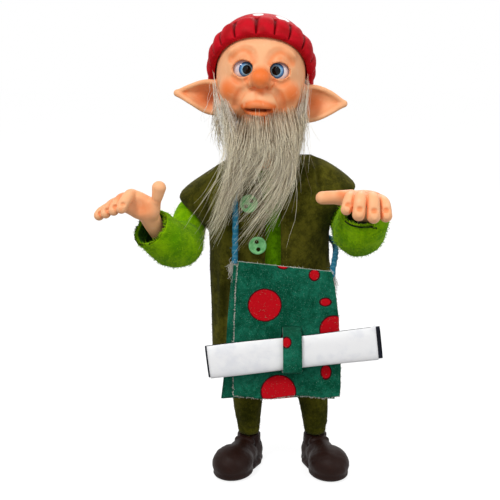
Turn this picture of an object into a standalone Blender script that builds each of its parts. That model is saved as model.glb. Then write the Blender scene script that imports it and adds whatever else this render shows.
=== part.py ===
"""Elf figurine: a handmade doll of modelled clay and sewn cloth, 300 mm tall.

The clay head, hands, cap and boots sit on a stuffed cloth body with wire arms
and legs. The doll wears a plush sweater and a long felt vest, and a dotted
felt bag with a rolled scroll hangs from a yarn strap over one shoulder.
Metres, +Z up, the figure looks along -Y. Right and left are the elf's own.
"""
import math

import bpy
import bmesh
from mathutils import Matrix, Vector

# Clearances and walls
GAP = 0.0003
SEAM_GAP = 0.0005
SWEATER_WALL = 0.0026
VEST_EASE = 0.0008
FELT = 0.0013
BAG_FELT = 0.0016
CAP_WALL = 0.0030

# Where the figure's middle stands over the world origin
STAND_X = -0.0004
STAND_Y = -0.0272

# Head, in its own frame: origin between the eyes on the head's axis
HEAD_PLACE = (0.0114, 0.0, 0.2654)
HEAD_ROLL = 3.6
HEAD_YAW = -0.6
SKULL_CENTRE = (0.0, 0.0, -0.002)
SKULL_RADII = (0.0285, 0.0300, 0.0330)
SKULL_POWER = 2.25
EYE_SPREAD = 0.0110
EYE_DEPTH = 0.0175
EYE_RADIUS = 0.0080
EYE_OPENING_WIDTH = 0.0125
EYE_OPENING_HEIGHT = 0.0097
LID_WALL = 0.0019
NOSE_TIP = 0.0385
NOSE_DROP = 0.0075
MOUTH_DROP = 0.0248
MOUTH_WIDTH = 0.0115
LIP_WIDTH = 0.0180
EAR_TIP = (0.0552, 0.0010, -0.0186)
EAR_THICKNESS = 0.0022
NECK_RADIUS = 0.0088

# Cap
CAP_FRONT_EDGE = 0.0200
CAP_EDGE_SLOPE = 1.06
CAP_EASE = 0.0010
CAP_BAND = 0.0120
CAP_BAND_PUFF = 0.0022
NOTCH_COUNT = 20
NOTCH_LENGTH = 0.0083
NOTCH_WIDTH = 0.0012
NOTCH_DEPTH = 0.0010

# Stuffed body: height, middle in X, half width, half depth
BODY = (
    (0.1018, 0.0180, 0.0290, 0.0185),
    (0.1300, 0.0180, 0.0290, 0.0190),
    (0.1600, 0.0180, 0.0300, 0.0190),
    (0.1780, 0.0178, 0.0315, 0.0185),
    (0.1890, 0.0168, 0.0280, 0.0165),
    (0.1960, 0.0152, 0.0215, 0.0135),
    (0.2020, 0.0132, 0.0130, 0.0100),
)
BODY_POWER = 2.5

# Arms: wire armature wrapped with thread, from the body to the hand
ARM_RADIUS = 0.0030
ARM_RIGHT = ((-0.0165, 0.0000, 0.1815), (-0.0226, 0.0004, 0.1812), (-0.0324, -0.0018, 0.1738), (-0.0378, -0.0078, 0.1602),
             (-0.0400, -0.0200, 0.1555), (-0.0450, -0.0315, 0.1570), (-0.0508, -0.0402, 0.1640))
ARM_LEFT = ((0.0526, 0.0000, 0.1815), (0.0588, -0.0002, 0.1806), (0.0652, -0.0040, 0.1715), (0.0705, -0.0120, 0.1660),
            (0.0725, -0.0260, 0.1650), (0.0735, -0.0370, 0.1690), (0.0740, -0.0440, 0.1770))
SLEEVE_WALL = 0.0022
SLEEVE_RIGHT_RADII = (0.0088, 0.0088, 0.0100, 0.0122, 0.0142, 0.0142, 0.0136, 0.0127)
SLEEVE_LEFT_RADII = (0.0090, 0.0092, 0.0108, 0.0140, 0.0160, 0.0162, 0.0155, 0.0146)
CUFF_RIGHT = (-0.0568, -0.0470, 0.1702)
CUFF_LEFT = (0.0738, -0.0475, 0.1815)

# Vest outline: height, right edge, left edge, as seen from the front
VEST_OUTLINE = (
    (0.0688, -0.0210, 0.0620),
    (0.0850, -0.0211, 0.0622),
    (0.1080, -0.0213, 0.0620),
    (0.1420, -0.0224, 0.0565),
    (0.1620, -0.0226, 0.0560),
    (0.1690, -0.0310, 0.0585),
    (0.1770, -0.0395, 0.0635),
    (0.1845, -0.0427, 0.0690),
    (0.1910, -0.0360, 0.0738),
    (0.1970, -0.0270, 0.0680),
    (0.2030, -0.0180, 0.0590),
    (0.2075, -0.0115, 0.0500),
)
VEST_DEPTH = (
    (0.0688, 0.0245), (0.1420, 0.0252), (0.1690, 0.0270), (0.1845, 0.0262),
    (0.1910, 0.0235), (0.1970, 0.0178), (0.2030, 0.0150), (0.2075, 0.0115),
)
VEST_POWER = 3.2
VEST_OPENING_RIGHT = ((0.0688, 0.0130), (0.1760, 0.0142), (0.1900, 0.0117), (0.2030, 0.0066), (0.2075, -0.0020))
VEST_OPENING_LEFT = ((0.0688, 0.0250), (0.1760, 0.0236), (0.1900, 0.0250), (0.2030, 0.0300), (0.2075, 0.0370))
ARMHOLE_LOW = 0.1580
ARMHOLE_HIGH = 0.1880
ARMHOLE_OPEN = 0.0178
FOLD_DEPTH = 0.0010

# Buttons
BUTTON_RADIUS = 0.0057
BUTTON_THICKNESS = 0.0020
BUTTON_HOLE_RADIUS = 0.0013
BUTTON_HOLE_SPACING = 0.0049
BUTTON_UPPER = (0.0034, 0.1825, 45.0)
BUTTON_LOWER = (0.0090, 0.1553, 102.0)

# Trousers, stuffed
HIP_RIGHT = (0.0060, 0.0000, 0.0840)
KNEE_RIGHT = (0.0030, -0.0030, 0.0500)
ANKLE_RIGHT = (0.0035, -0.0020, 0.0210)
HIP_LEFT = (0.0345, 0.0000, 0.0840)
KNEE_LEFT = (0.0462, -0.0030, 0.0500)
ANKLE_LEFT = (0.0487, -0.0020, 0.0210)
THIGH_RADIUS = 0.0150
KNEE_RADIUS = 0.0105
ANKLE_RADIUS = 0.0068
LEG_WIRE_RADIUS = 0.0011
LEG_WIRE_TOP = 0.0900
LEG_WIRE_BOTTOM = 0.0100

# Boots
BOOT_HEIGHT = 0.0206
BOOT_TURN_RIGHT = 24.0
BOOT_TURN_LEFT = 17.0
TOE_REACH = 0.0270
TOE_WIDTH = 0.0130
TOE_LENGTH = 0.0150
TOE_HEIGHT = 0.0115
WELT_HEIGHT = 0.0030
WELT_EDGE = 0.0013

# Bag: corners in X and Z of the front flap and of the pocket behind it
BAG_FRONT = 0.0345
BAG_TOP = (-0.0032, 0.1468, 0.0556, 0.1403)
BAG_LOW = (-0.0062, 0.0570, 0.0620, 0.0580)
POUCH_TOP = (-0.0090, 0.1440, 0.0540, 0.1385)
POUCH_LOW = (-0.0135, 0.0555, 0.0590, 0.0560)
POUCH_THICKNESS = 0.0036
SLIT_WIDTH = 0.0006
STRAP_SLOT = (0.0245, 0.0372)
SLIT_REACH = 0.0012
BAG_RIPPLE = 0.0010
BAG_SWELL = 0.0028

# Scroll
SCROLL_RIGHT_END = (-0.0232, 0.0829)
SCROLL_LEFT_END = (0.0872, 0.0958)
SCROLL_HEIGHT = 0.0205
SCROLL_THICKNESS = 0.0062
SCROLL_WALL = 0.0009
PAPER_WALL = 0.0005
PAPER_INSET = 0.0022

# Strap of braided yarn
STRAP_RADIUS = 0.00195


def clear_scene():
    """Remove what the new file holds."""
    for thing in list(bpy.data.objects):
        bpy.data.objects.remove(thing)
    for mesh in list(bpy.data.meshes):
        bpy.data.meshes.remove(mesh)


def collection(name):
    group = bpy.data.collections.new(name)
    bpy.context.scene.collection.children.link(group)
    return group


clear_scene()
FIGURE = collection("elf_figurine")
CUTTERS = collection("cutters")


def empty(name, parent=None, location=(0.0, 0.0, 0.0), rotation=(0.0, 0.0, 0.0)):
    """Place an empty that carries other objects."""
    holder = bpy.data.objects.new(name, None)
    holder.location = location
    holder.rotation_euler = rotation
    holder.parent = parent
    FIGURE.objects.link(holder)
    return holder


STAND = empty("stand", location=(-STAND_X, -STAND_Y, 0.0))
HEAD = empty("head_frame", STAND, HEAD_PLACE, (0.0, math.radians(HEAD_ROLL), math.radians(HEAD_YAW)))


def srgb(red, green, blue):
    """Turn a colour seen on a screen, 0 to 255, into Blender's linear one."""
    def linear(value):
        share = value / 255.0
        return share / 12.92 if share <= 0.04045 else ((share + 0.055) / 1.055) ** 2.4
    return (linear(red), linear(green), linear(blue), 1.0)


def material(name, colour, roughness, metallic=0.0):
    finish = bpy.data.materials.new(name)
    finish.use_nodes = True
    shader = finish.node_tree.nodes["Principled BSDF"]
    shader.inputs["Base Color"].default_value = colour
    shader.inputs["Roughness"].default_value = roughness
    shader.inputs["Metallic"].default_value = metallic
    finish.diffuse_color = colour
    return finish


CLAY_SKIN = material("clay_skin", srgb(235, 158, 110), 0.50)
EYE_GLASS = material("eye_glass", srgb(211, 198, 194), 0.08)
CLAY_RED = material("clay_red", srgb(172, 6, 24), 0.45)
FUR = material("grey_fur", srgb(184, 170, 140), 0.80)
PLUSH = material("lime_plush", srgb(104, 146, 8), 0.95)
FELT_OLIVE = material("olive_felt", srgb(72, 70, 16), 0.95)
BUTTON_GREEN = material("button_green", srgb(112, 178, 112), 0.25)
TROUSER_CLOTH = material("trouser_cloth", srgb(62, 62, 10), 0.95)
CLAY_BROWN = material("clay_brown", srgb(45, 25, 17), 0.55)
BAG_CLOTH = material("dotted_felt", srgb(10, 86, 64), 0.95)
YARN = material("blue_yarn", srgb(58, 128, 158), 0.90)
PAPER = material("scroll_paper", srgb(236, 236, 236), 0.75)
BLACK_CARD = material("black_card", srgb(18, 20, 32), 0.70)
STUFFING = material("stuffed_cloth", srgb(200, 186, 160), 0.95)
WIRE = material("wrapped_wire", srgb(120, 116, 108), 0.50, 0.6)


def finish_object(thing, finish, parent, angle=40.0):
    thing.data.materials.append(finish)
    thing.parent = parent
    if hasattr(thing.data, "shade_smooth"):
        thing.data.shade_smooth()
        thing.data.set_sharp_from_angle(angle=math.radians(angle))
    return thing


def mesh_object(name, shape, finish, parent=None, group=None):
    """Make an object of a bmesh and free the bmesh."""
    mesh = bpy.data.meshes.new(name)
    shape.to_mesh(mesh)
    shape.free()
    thing = bpy.data.objects.new(name, mesh)
    (group or FIGURE).objects.link(thing)
    if group is CUTTERS:
        thing.hide_render = True
        thing.display_type = "WIRE"
        thing.parent = parent
        return thing
    return finish_object(thing, finish, parent or STAND)


def evaluated_mesh(thing):
    """The object's mesh with all its modifiers applied, in its own frame."""
    graph = bpy.context.evaluated_depsgraph_get()
    return bpy.data.meshes.new_from_object(thing.evaluated_get(graph))


def along(table, key, column=1):
    """Read a column of a table at a height, on a smooth line between its rows."""
    if key <= table[0][0]:
        return table[0][column]
    for low, high in zip(table, table[1:]):
        if key <= high[0]:
            share = (key - low[0]) / (high[0] - low[0])
            return low[column] + (high[column] - low[column]) * share
    return table[-1][column]


def smooth_path(points, share):
    """A point on a Catmull-Rom curve through the points, share from 0 to 1."""
    last = len(points) - 1
    place = min(max(share, 0.0), 1.0) * last
    index = min(int(place), last - 1)
    t = place - index
    before = Vector(points[max(index - 1, 0)])
    start = Vector(points[index])
    end = Vector(points[index + 1])
    after = Vector(points[min(index + 2, last)])
    return 0.5 * ((2 * start) + (end - before) * t
                  + (2 * before - 5 * start + 4 * end - after) * t * t
                  + (3 * start - before - 3 * end + after) * t ** 3)


def level(values, share):
    """Read a list of numbers at a share of its length, in straight steps."""
    place = min(max(share, 0.0), 1.0) * (len(values) - 1)
    index = min(int(place), len(values) - 2)
    return values[index] + (values[index + 1] - values[index]) * (place - index)


def oval(angle, half_width, half_depth, power):
    """A point of a rounded box ring: angle 0 at +X, a quarter turn at -Y."""
    c = math.cos(angle)
    s = math.sin(angle)
    x = half_width * math.copysign(abs(c) ** (2.0 / power), c)
    y = -half_depth * math.copysign(abs(s) ** (2.0 / power), s)
    return x, y


def sheet(name, columns, rows, place, finish, wall, parent=None, closed=False, skip=None, side=-1.0):
    """A grid of columns by rows bent by the place function, with a wall thickness."""
    shape = bmesh.new()
    bmesh.ops.create_grid(shape, x_segments=columns, y_segments=rows, size=0.5)
    if skip:
        gone = [face for face in shape.faces
                if skip(face.calc_center_median().x + 0.5, face.calc_center_median().y + 0.5)]
        bmesh.ops.delete(shape, geom=gone, context="FACES")
    for vertex in shape.verts:
        vertex.co = Vector(place(vertex.co.x + 0.5, vertex.co.y + 0.5))
    if closed:
        bmesh.ops.remove_doubles(shape, verts=shape.verts, dist=0.00001)
    thing = mesh_object(name, shape, finish, parent)
    solid = thing.modifiers.new("wall", "SOLIDIFY")
    solid.thickness = wall
    solid.offset = side
    solid.use_even_offset = False
    return thing


def ball(shape, centre, radii, turn=(0.0, 0.0, 0.0), detail=20):
    """Add an ellipsoid to a bmesh, turned by degrees about X, Y and Z."""
    rotation = Matrix.Identity(4)
    for axis, degrees in zip("XYZ", turn):
        rotation = Matrix.Rotation(math.radians(degrees), 4, axis) @ rotation
    scale = Matrix.Diagonal((radii[0], radii[1], radii[2], 1.0))
    bmesh.ops.create_uvsphere(shape, u_segments=detail, v_segments=detail // 2, radius=1.0,
                              matrix=Matrix.Translation(centre) @ rotation @ scale)


def limb(shape, points, radii, steps=5):
    """Add a row of overlapping balls that reads as a tapered limb."""
    count = steps * (len(points) - 1)
    for index in range(count + 1):
        share = index / count
        radius = level(radii, share)
        ball(shape, smooth_path(points, share), (radius, radius, radius), detail=16)


def sculpt(name, shape, finish, voxel, softness, triangles, parent=None):
    """Fuse lumps into one soft body and thin its faces to a number of triangles."""
    thing = mesh_object(name, shape, finish, parent)
    fuse = thing.modifiers.new("fuse", "REMESH")
    fuse.mode = "VOXEL"
    fuse.voxel_size = voxel
    soften = thing.modifiers.new("soften", "SMOOTH")
    soften.factor = 0.5
    soften.iterations = softness
    full = evaluated_mesh(thing)
    count = sum(len(face.vertices) - 2 for face in full.polygons)
    bpy.data.meshes.remove(full)
    thin = thing.modifiers.new("thin", "DECIMATE")
    thin.ratio = min(1.0, triangles / count)
    return thing


def boolean(thing, other, operation="DIFFERENCE"):
    cut = thing.modifiers.new(other.name, "BOOLEAN")
    cut.operation = operation
    cut.object = other
    return cut


def box_cutter(name, low, high, parent):
    shape = bmesh.new()
    size = Vector(high) - Vector(low)
    centre = (Vector(high) + Vector(low)) / 2.0
    bmesh.ops.create_cube(shape, size=1.0,
                          matrix=Matrix.Translation(centre) @ Matrix.Diagonal((*size, 1.0)))
    return mesh_object(name, shape, None, parent, CUTTERS)


def rod(name, points, radius, finish, parent=None, sides=2, group=None):
    """A round wire or cord through the points, with closed ends."""
    curve = bpy.data.curves.new(name, "CURVE")
    curve.dimensions = "3D"
    curve.bevel_depth = radius
    curve.bevel_resolution = sides
    curve.use_fill_caps = True
    line = curve.splines.new("POLY")
    line.points.add(len(points) - 1)
    for target, point in zip(line.points, points):
        target.co = (*point, 1.0)
    thing = bpy.data.objects.new(name, curve)
    (group or FIGURE).objects.link(thing)
    thing.parent = parent or STAND
    if finish:
        curve.materials.append(finish)
    return thing


def rod_cutter(name, points, radius, parent=None, sides=2):
    """The same round wire as a closed mesh, to cut a bore with."""
    curve = rod(name + "_curve", points, radius, None, parent, sides, CUTTERS)
    mesh = evaluated_mesh(curve)
    shape = bmesh.new()
    shape.from_mesh(mesh)
    bmesh.ops.remove_doubles(shape, verts=shape.verts, dist=0.000001)
    bpy.data.objects.remove(curve)
    return mesh_object(name, shape, None, parent or STAND, CUTTERS)


# Head


def skull_point(azimuth, rise, grow):
    """A point of the skull's rounded form: azimuth 0 at +X, rise 0 at eye level."""
    power = 2.0 / SKULL_POWER

    def soft(value):
        return math.copysign(abs(value) ** power, value)
    direction = (soft(math.cos(rise)) * soft(math.cos(azimuth)),
                 soft(math.cos(rise)) * soft(math.sin(azimuth)),
                 soft(math.sin(rise)))
    return Vector([centre + (radius + grow) * part
                   for centre, radius, part in zip(SKULL_CENTRE, SKULL_RADII, direction)])


def skull_radius(direction, grow=0.0):
    """Distance from the skull's centre to its surface along a direction."""
    total = sum(abs(part / (radius + grow)) ** SKULL_POWER
                for part, radius in zip(direction, SKULL_RADII))
    return total ** (-1.0 / SKULL_POWER)


def face_lumps(shape):
    """Clay added to the skull: cheeks, brow, nose, lips, chin and neck."""
    ball(shape, (0.0, -0.0030, -0.0175), (0.0225, 0.0225, 0.0185), detail=28)
    ball(shape, (0.0, -0.0230, -0.0345), (0.0085, 0.0070, 0.0060))
    ball(shape, (0.0, -0.0255, -0.0205), (0.0120, 0.0080, 0.0085))
    tip = (0.0, -NOSE_TIP + 0.0060, -NOSE_DROP)
    ball(shape, tip, (0.0060, 0.0060, 0.0048))
    limb(shape, ((0.0, -0.0255, 0.0060), (0.0, -0.0290, 0.0), tip), (0.0042, 0.0040, 0.0046))
    for side in (-1.0, 1.0):
        eye = (side * EYE_SPREAD, -EYE_DEPTH, 0.0)
        lid = EYE_RADIUS + LID_WALL
        ball(shape, eye, (lid, lid, lid * 0.98))
        ball(shape, (side * 0.0115, -0.0215, 0.0085), (0.0105, 0.0068, 0.0045), (0.0, side * 14.0, 0.0))
        ball(shape, (side * 0.0160, -0.0170, -0.0135), (0.0095, 0.0090, 0.0085))
        ball(shape, (side * 0.0058, -0.0305, -0.0090), (0.0034, 0.0045, 0.0036))
    half = LIP_WIDTH / 2.0
    upper = MOUTH_DROP - 0.0026
    lower = MOUTH_DROP + 0.0027
    limb(shape, ((-half, -0.0290, -MOUTH_DROP), (-half / 2, -0.0330, -upper), (0.0, -0.0338, -upper - 0.0004),
                 (half / 2, -0.0330, -upper), (half, -0.0290, -MOUTH_DROP)),
         (0.0012, 0.0022, 0.0022, 0.0022, 0.0012), 4)
    limb(shape, ((-half * 0.8, -0.0290, -MOUTH_DROP - 0.0012), (-half / 3, -0.0320, -lower),
                 (half / 3, -0.0320, -lower), (half * 0.8, -0.0290, -MOUTH_DROP - 0.0012)),
         (0.0012, 0.0021, 0.0021, 0.0012), 4)


def ear_point(side, u, v):
    """The ear's bowl: u from its root to the tip, v from the top rim to the lower one."""
    root_top = Vector((0.0250, -0.0015, -0.0110))
    root_low = Vector((0.0215, -0.0010, -0.0300))
    tip = Vector(EAR_TIP)
    top = smooth_path((root_top, (0.0350, -0.0020, -0.0092), (0.0455, -0.0015, -0.0122), tip), u)
    low = smooth_path((root_low, (0.0330, -0.0025, -0.0305), (0.0440, -0.0035, -0.0260), tip), u)
    hollow = 0.0060 * math.sin(math.pi * v) ** 0.8 * math.sin(math.pi * min(1.0, 0.30 + 0.7 * u))
    point = top.lerp(low, v)
    return Vector((side * point.x, point.y + hollow, point.z))


def add_ear(shape, side):
    """A closed bowl for one ear, with a rounded rim."""
    across = 9
    out = 11
    front = bmesh.ops.create_grid(shape, x_segments=out, y_segments=across, size=0.5)["verts"]
    for vertex in front:
        u = vertex.co.x + 0.5
        v = vertex.co.y + 0.5
        vertex.co = ear_point(side, u * 0.985, v)
    faces = list({face for vertex in front for face in vertex.link_faces})
    back = bmesh.ops.extrude_face_region(shape, geom=faces, use_keep_orig=True)
    moved = [item for item in back["geom"] if isinstance(item, bmesh.types.BMVert)]
    bmesh.ops.translate(shape, verts=moved, vec=(0.0, EAR_THICKNESS, 0.0))
    steps = 12
    for v_edge in (0.0, 1.0):
        for index in range(steps + 1):
            share = index / steps
            radius = 0.0017 - 0.0007 * share
            ball(shape, ear_point(side, share * 0.985, v_edge), (radius, radius, radius), detail=10)


def build_head():
    shape = bmesh.new()
    bmesh.ops.create_uvsphere(shape, u_segments=48, v_segments=28, radius=1.0)
    for vertex in shape.verts:
        rise = math.asin(max(-1.0, min(1.0, vertex.co.z)))
        azimuth = math.atan2(vertex.co.y, vertex.co.x)
        vertex.co = skull_point(azimuth, rise, 0.0)
    face_lumps(shape)
    body_top = Vector((BODY[-1][1], 0.0, BODY[-1][0] + GAP)) - Vector(HEAD_PLACE)
    limb(shape, ((0.0, 0.0040, -0.0250), (0.0010, 0.0020, -0.0450), (body_top.x, 0.0, body_top.z)),
         (0.0110, NECK_RADIUS, NECK_RADIUS), 6)
    for side in (-1.0, 1.0):
        add_ear(shape, side)
    head = sculpt("head", shape, CLAY_SKIN, 0.0009, 3, 1500, HEAD)
    floor = HEAD_PLACE[2] + body_top.z
    boolean(head, box_cutter("neck_end", (-0.05, -0.05, floor - 0.05), (0.08, 0.05, floor), STAND))
    for side, name in ((-1.0, "right"), (1.0, "left")):
        socket = bmesh.new()
        ball(socket, (side * EYE_SPREAD, -EYE_DEPTH, 0.0), [EYE_RADIUS + GAP] * 3, (90.0, 0.0, 0.0), detail=12)
        boolean(head, mesh_object("socket_" + name, socket, None, HEAD, CUTTERS))
        opening = bmesh.new()
        ball(opening, (side * EYE_SPREAD * 0.97, -EYE_DEPTH - EYE_RADIUS, 0.0),
             (EYE_OPENING_WIDTH / 2, 0.0060, EYE_OPENING_HEIGHT / 2), (0.0, side * 8.0, 0.0), detail=16)
        boolean(head, mesh_object("lids_" + name, opening, None, HEAD, CUTTERS))
        eye = bmesh.new()
        ball(eye, (side * EYE_SPREAD, -EYE_DEPTH, 0.0), [EYE_RADIUS] * 3, (90.0, 0.0, 0.0), detail=12)
        mesh_object("eye_" + name, eye, EYE_GLASS, HEAD)
    mouth = bmesh.new()
    ball(mouth, (0.0, -0.0345, -MOUTH_DROP), (MOUTH_WIDTH / 2, 0.0040, 0.0008), detail=10)
    boolean(head, mesh_object("mouth_slit", mouth, None, HEAD, CUTTERS))
    return head


# Cap


def cap_frame(turn, tilt):
    """A direction from the skull's centre: tilt from the cap's leaning axis, turn about it."""
    axis = Vector((0.0, CAP_EDGE_SLOPE, 1.0)).normalized()
    across = Vector((1.0, 0.0, 0.0))
    forward = axis.cross(across)
    return (axis * math.cos(tilt)
            + (across * math.cos(turn) + forward * math.sin(turn)) * math.sin(tilt))


def cap_edge_tilt(turn, grow):
    """The tilt at which a direction meets the plane of the cap's edge."""
    axis = Vector((0.0, CAP_EDGE_SLOPE, 1.0))
    front = SKULL_CENTRE[1] - SKULL_RADII[1] * 0.84
    edge = CAP_FRONT_EDGE + CAP_EDGE_SLOPE * front
    offset = edge - axis.dot(Vector(SKULL_CENTRE))
    low = 0.6
    high = 2.4
    for _ in range(30):
        tilt = (low + high) / 2.0
        direction = cap_frame(turn, tilt)
        if axis.dot(direction) * skull_radius(direction, grow) > offset:
            low = tilt
        else:
            high = tilt
    return low


def cap_point(turn, share, grow):
    """The cap's surface: share 0 at the crown and 1 at the edge."""
    tilt = cap_edge_tilt(turn, grow) * share
    direction = cap_frame(turn, tilt)
    return Vector(SKULL_CENTRE) + direction * skull_radius(direction, grow)


def cap_bulge(share, length):
    """How far the rolled band at the edge stands out of the dome."""
    distance = (1.0 - share) * length
    if distance > CAP_BAND:
        return max(0.0, 1.0 - (distance - CAP_BAND) / 0.0016) * CAP_BAND_PUFF * 0.35
    middle = distance / CAP_BAND
    return CAP_BAND_PUFF * (1.0 - abs(2.0 * middle - 1.0) ** 3.0) * 0.65 + CAP_BAND_PUFF * 0.35


def build_cap():
    columns = 30
    shares = (0.0, 0.20, 0.40, 0.58, 0.70, 0.765, 0.85, 0.94, 1.0)
    outline = 0.0520
    shape = bmesh.new()
    bmesh.ops.create_uvsphere(shape, u_segments=columns, v_segments=len(shares), radius=1.0)
    low = [vertex for vertex in shape.verts if vertex.co.z < -0.999]
    bmesh.ops.delete(shape, geom=low, context="VERTS")
    for vertex in shape.verts:
        ring = round(math.acos(max(-1.0, min(1.0, vertex.co.z))) / math.pi * len(shares))
        share = shares[min(ring, len(shares) - 1)]
        turn = math.atan2(vertex.co.y, vertex.co.x)
        grow = CAP_EASE + CAP_WALL + cap_bulge(share, outline)
        vertex.co = cap_point(turn, share, grow)
    bmesh.ops.recalc_face_normals(shape, faces=shape.faces)
    cap = mesh_object("cap", shape, CLAY_RED, HEAD)
    solid = cap.modifiers.new("wall", "SOLIDIFY")
    solid.thickness = CAP_WALL
    solid.offset = -1.0
    notches = bmesh.new()
    for index in range(NOTCH_COUNT):
        turn = 2.0 * math.pi * (index + 0.5) / NOTCH_COUNT
        low_end = cap_point(turn, 0.965, CAP_EASE + CAP_WALL + CAP_BAND_PUFF)
        high_end = cap_point(turn, 0.965 - NOTCH_LENGTH / outline, CAP_EASE + CAP_WALL + CAP_BAND_PUFF)
        middle = (low_end + high_end) / 2.0
        length = high_end - low_end
        outward = (middle - Vector(SKULL_CENTRE)).normalized()
        across = outward.cross(length).normalized()
        frame = Matrix((across, length.normalized(), across.cross(length.normalized()))).transposed().to_4x4()
        scale = Matrix.Diagonal((NOTCH_WIDTH / 2, length.length / 2, NOTCH_DEPTH, 1.0))
        bmesh.ops.create_uvsphere(notches, u_segments=5, v_segments=3, radius=1.0,
                                  matrix=Matrix.Translation(middle) @ frame @ scale)
    boolean(cap, mesh_object("cap_notches", notches, None, HEAD, CUTTERS))
    return cap


# Hair


def lock(shape, points, radii, flat=1.0):
    """A lock of hair: a row of balls, flattened front to back."""
    count = 5 * (len(points) - 1)
    for index in range(count + 1):
        share = index / count
        radius = level(radii, share)
        ball(shape, smooth_path(points, share), (radius, radius * flat, radius), detail=14)


def build_hair():
    shape = bmesh.new()
    lock(shape, ((0.0075, -0.0375, 0.2320), (0.0080, -0.0375, 0.2220), (0.0080, -0.0365, 0.2130),
                 (0.0170, -0.0355, 0.1980), (0.0150, -0.0360, 0.1850), (0.0050, -0.0355, 0.1700),
                 (-0.0080, -0.0345, 0.1570)),
         (0.0125, 0.0165, 0.0160, 0.0100, 0.0075, 0.0050, 0.0020), 0.24)
    lock(shape, ((0.0000, -0.0370, 0.2200), (-0.0060, -0.0360, 0.2060), (-0.0120, -0.0355, 0.1930),
                 (-0.0180, -0.0350, 0.1780), (-0.0250, -0.0345, 0.1640)),
         (0.0100, 0.0095, 0.0065, 0.0045, 0.0020), 0.32)
    lock(shape, ((0.0230, -0.0350, 0.2280), (0.0265, -0.0350, 0.2150), (0.0240, -0.0350, 0.2000),
                 (0.0180, -0.0355, 0.1900)), (0.0045, 0.0065, 0.0075, 0.0070), 0.38)
    sculpt("beard", shape, FUR, 0.0009, 4, 390)
    for side, name in ((-1.0, "right"), (1.0, "left")):
        shape = bmesh.new()
        lock(shape, ((side * 0.0279, -0.0125, 0.0020), (side * 0.0293, -0.0125, -0.0070),
                     (side * 0.0276, -0.0140, -0.0180), (side * 0.0226, -0.0160, -0.0290)),
             (0.0014, 0.0021, 0.0023, 0.0016), 1.0)
        sculpt("whisker_" + name, shape, FUR, 0.0008, 3, 110, HEAD)


# Body and clothes


def body_ring(height, angle, grow):
    """A point round the stuffed body, grown outward."""
    x, y = oval(angle, along(BODY, height, 2) + grow, along(BODY, height, 3) + grow, BODY_POWER)
    return along(BODY, height, 1) + x, y, height


def build_body():
    rows = 4
    low = BODY[0][0]
    high = BODY[-1][0]
    shape = bmesh.new()
    bmesh.ops.create_cone(shape, cap_ends=True, segments=16, radius1=1.0, radius2=1.0, depth=2.0)
    sides = [edge for edge in shape.edges if abs(edge.verts[0].co.z - edge.verts[1].co.z) > 1.0]
    bmesh.ops.subdivide_edges(shape, edges=sides, cuts=rows)
    for vertex in shape.verts:
        height = low + (high - low) * (vertex.co.z + 1.0) / 2.0
        vertex.co = body_ring(height, math.atan2(-vertex.co.y, vertex.co.x), 0.0)
    mesh_object("torso", shape, STUFFING)


def build_sweater():
    low = BODY[0][0]
    high = BODY[-1][0] - GAP

    def place(u, v):
        return body_ring(low + (high - low) * v, 2.0 * math.pi * u, 2.0 * GAP)
    sweater = sheet("sweater_body", 16, 5, place, PLUSH, SWEATER_WALL, closed=True)
    for name, points in (("right", ARM_RIGHT), ("left", ARM_LEFT)):
        line = arm_line(points)[:4]
        inward = (line[0] - line[1]).normalized() * SWEATER_WALL
        boolean(sweater, rod_cutter("armhole_" + name, [line[0] + inward] + line, ARM_RADIUS + GAP, sides=1))


def path_frame(points, share):
    """Point, direction, side and upper vectors of a path at a share of its length."""
    here = smooth_path(points, share)
    ahead = smooth_path(points, min(share + 0.02, 1.0))
    behind = smooth_path(points, max(share - 0.02, 0.0))
    direction = (ahead - behind).normalized()
    side = direction.cross(Vector((0.0, -0.55, 1.0))).normalized()
    upper = side.cross(direction)
    return here, direction, side, upper


def arm_line(points):
    """The arm's middle line, from the side of the stuffed body to the wrist."""
    start = Vector(points[0])
    middle = along(BODY, start.z, 1)
    reach = along(BODY, start.z, 2) + GAP
    route = (Vector((middle + math.copysign(reach, start.x - middle), start.y, start.z)),) + points
    return [smooth_path(route, index / 12) for index in range(13)]


def build_arms():
    for name, points in (("right", ARM_RIGHT), ("left", ARM_LEFT)):
        rod("arm_" + name, arm_line(points), ARM_RADIUS, WIRE, sides=1)


def build_sleeves():
    for name, points, cuff, radii in (("right", ARM_RIGHT, CUFF_RIGHT, SLEEVE_RIGHT_RADII),
                                      ("left", ARM_LEFT, CUFF_LEFT, SLEEVE_LEFT_RADII)):
        path = points + (cuff,)

        def place(u, v):
            here, direction, side, upper = path_frame(path, v)
            angle = 2.0 * math.pi * u
            radius = level(radii, v)
            wrinkle = 1.0 + 0.035 * math.sin(9.0 * math.pi * v) * math.sin(angle + 1.0)
            radius *= wrinkle
            return here + side * math.cos(angle) * radius + upper * math.sin(angle) * radius
        sheet("sleeve_" + name, 12, 8, place, PLUSH, SLEEVE_WALL, closed=True, side=1.0)


def vest_ring(height, angle):
    """A point round the vest: angle 0 at the left side, a quarter turn in front."""
    inner = GAP + SWEATER_WALL + VEST_EASE + FELT
    middle = BODY[0][1]
    body_half = along(BODY, height, 2) + inner
    right = max(middle - along(VEST_OUTLINE, height, 1), body_half)
    left = max(along(VEST_OUTLINE, height, 2) - middle, body_half)
    half = left if math.cos(angle) > 0.0 else right
    depth = max(along(VEST_DEPTH, height), along(BODY, height, 3) + inner)
    x, y = oval(angle, half, depth, VEST_POWER)
    fade = min(1.0, max(0.0, (0.200 - height) / 0.04))
    ripple = FOLD_DEPTH * math.sin(6.0 * angle + 9.0 * height / 0.1) * fade
    return middle + x, y * (1.0 + ripple / 0.025), height


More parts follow.
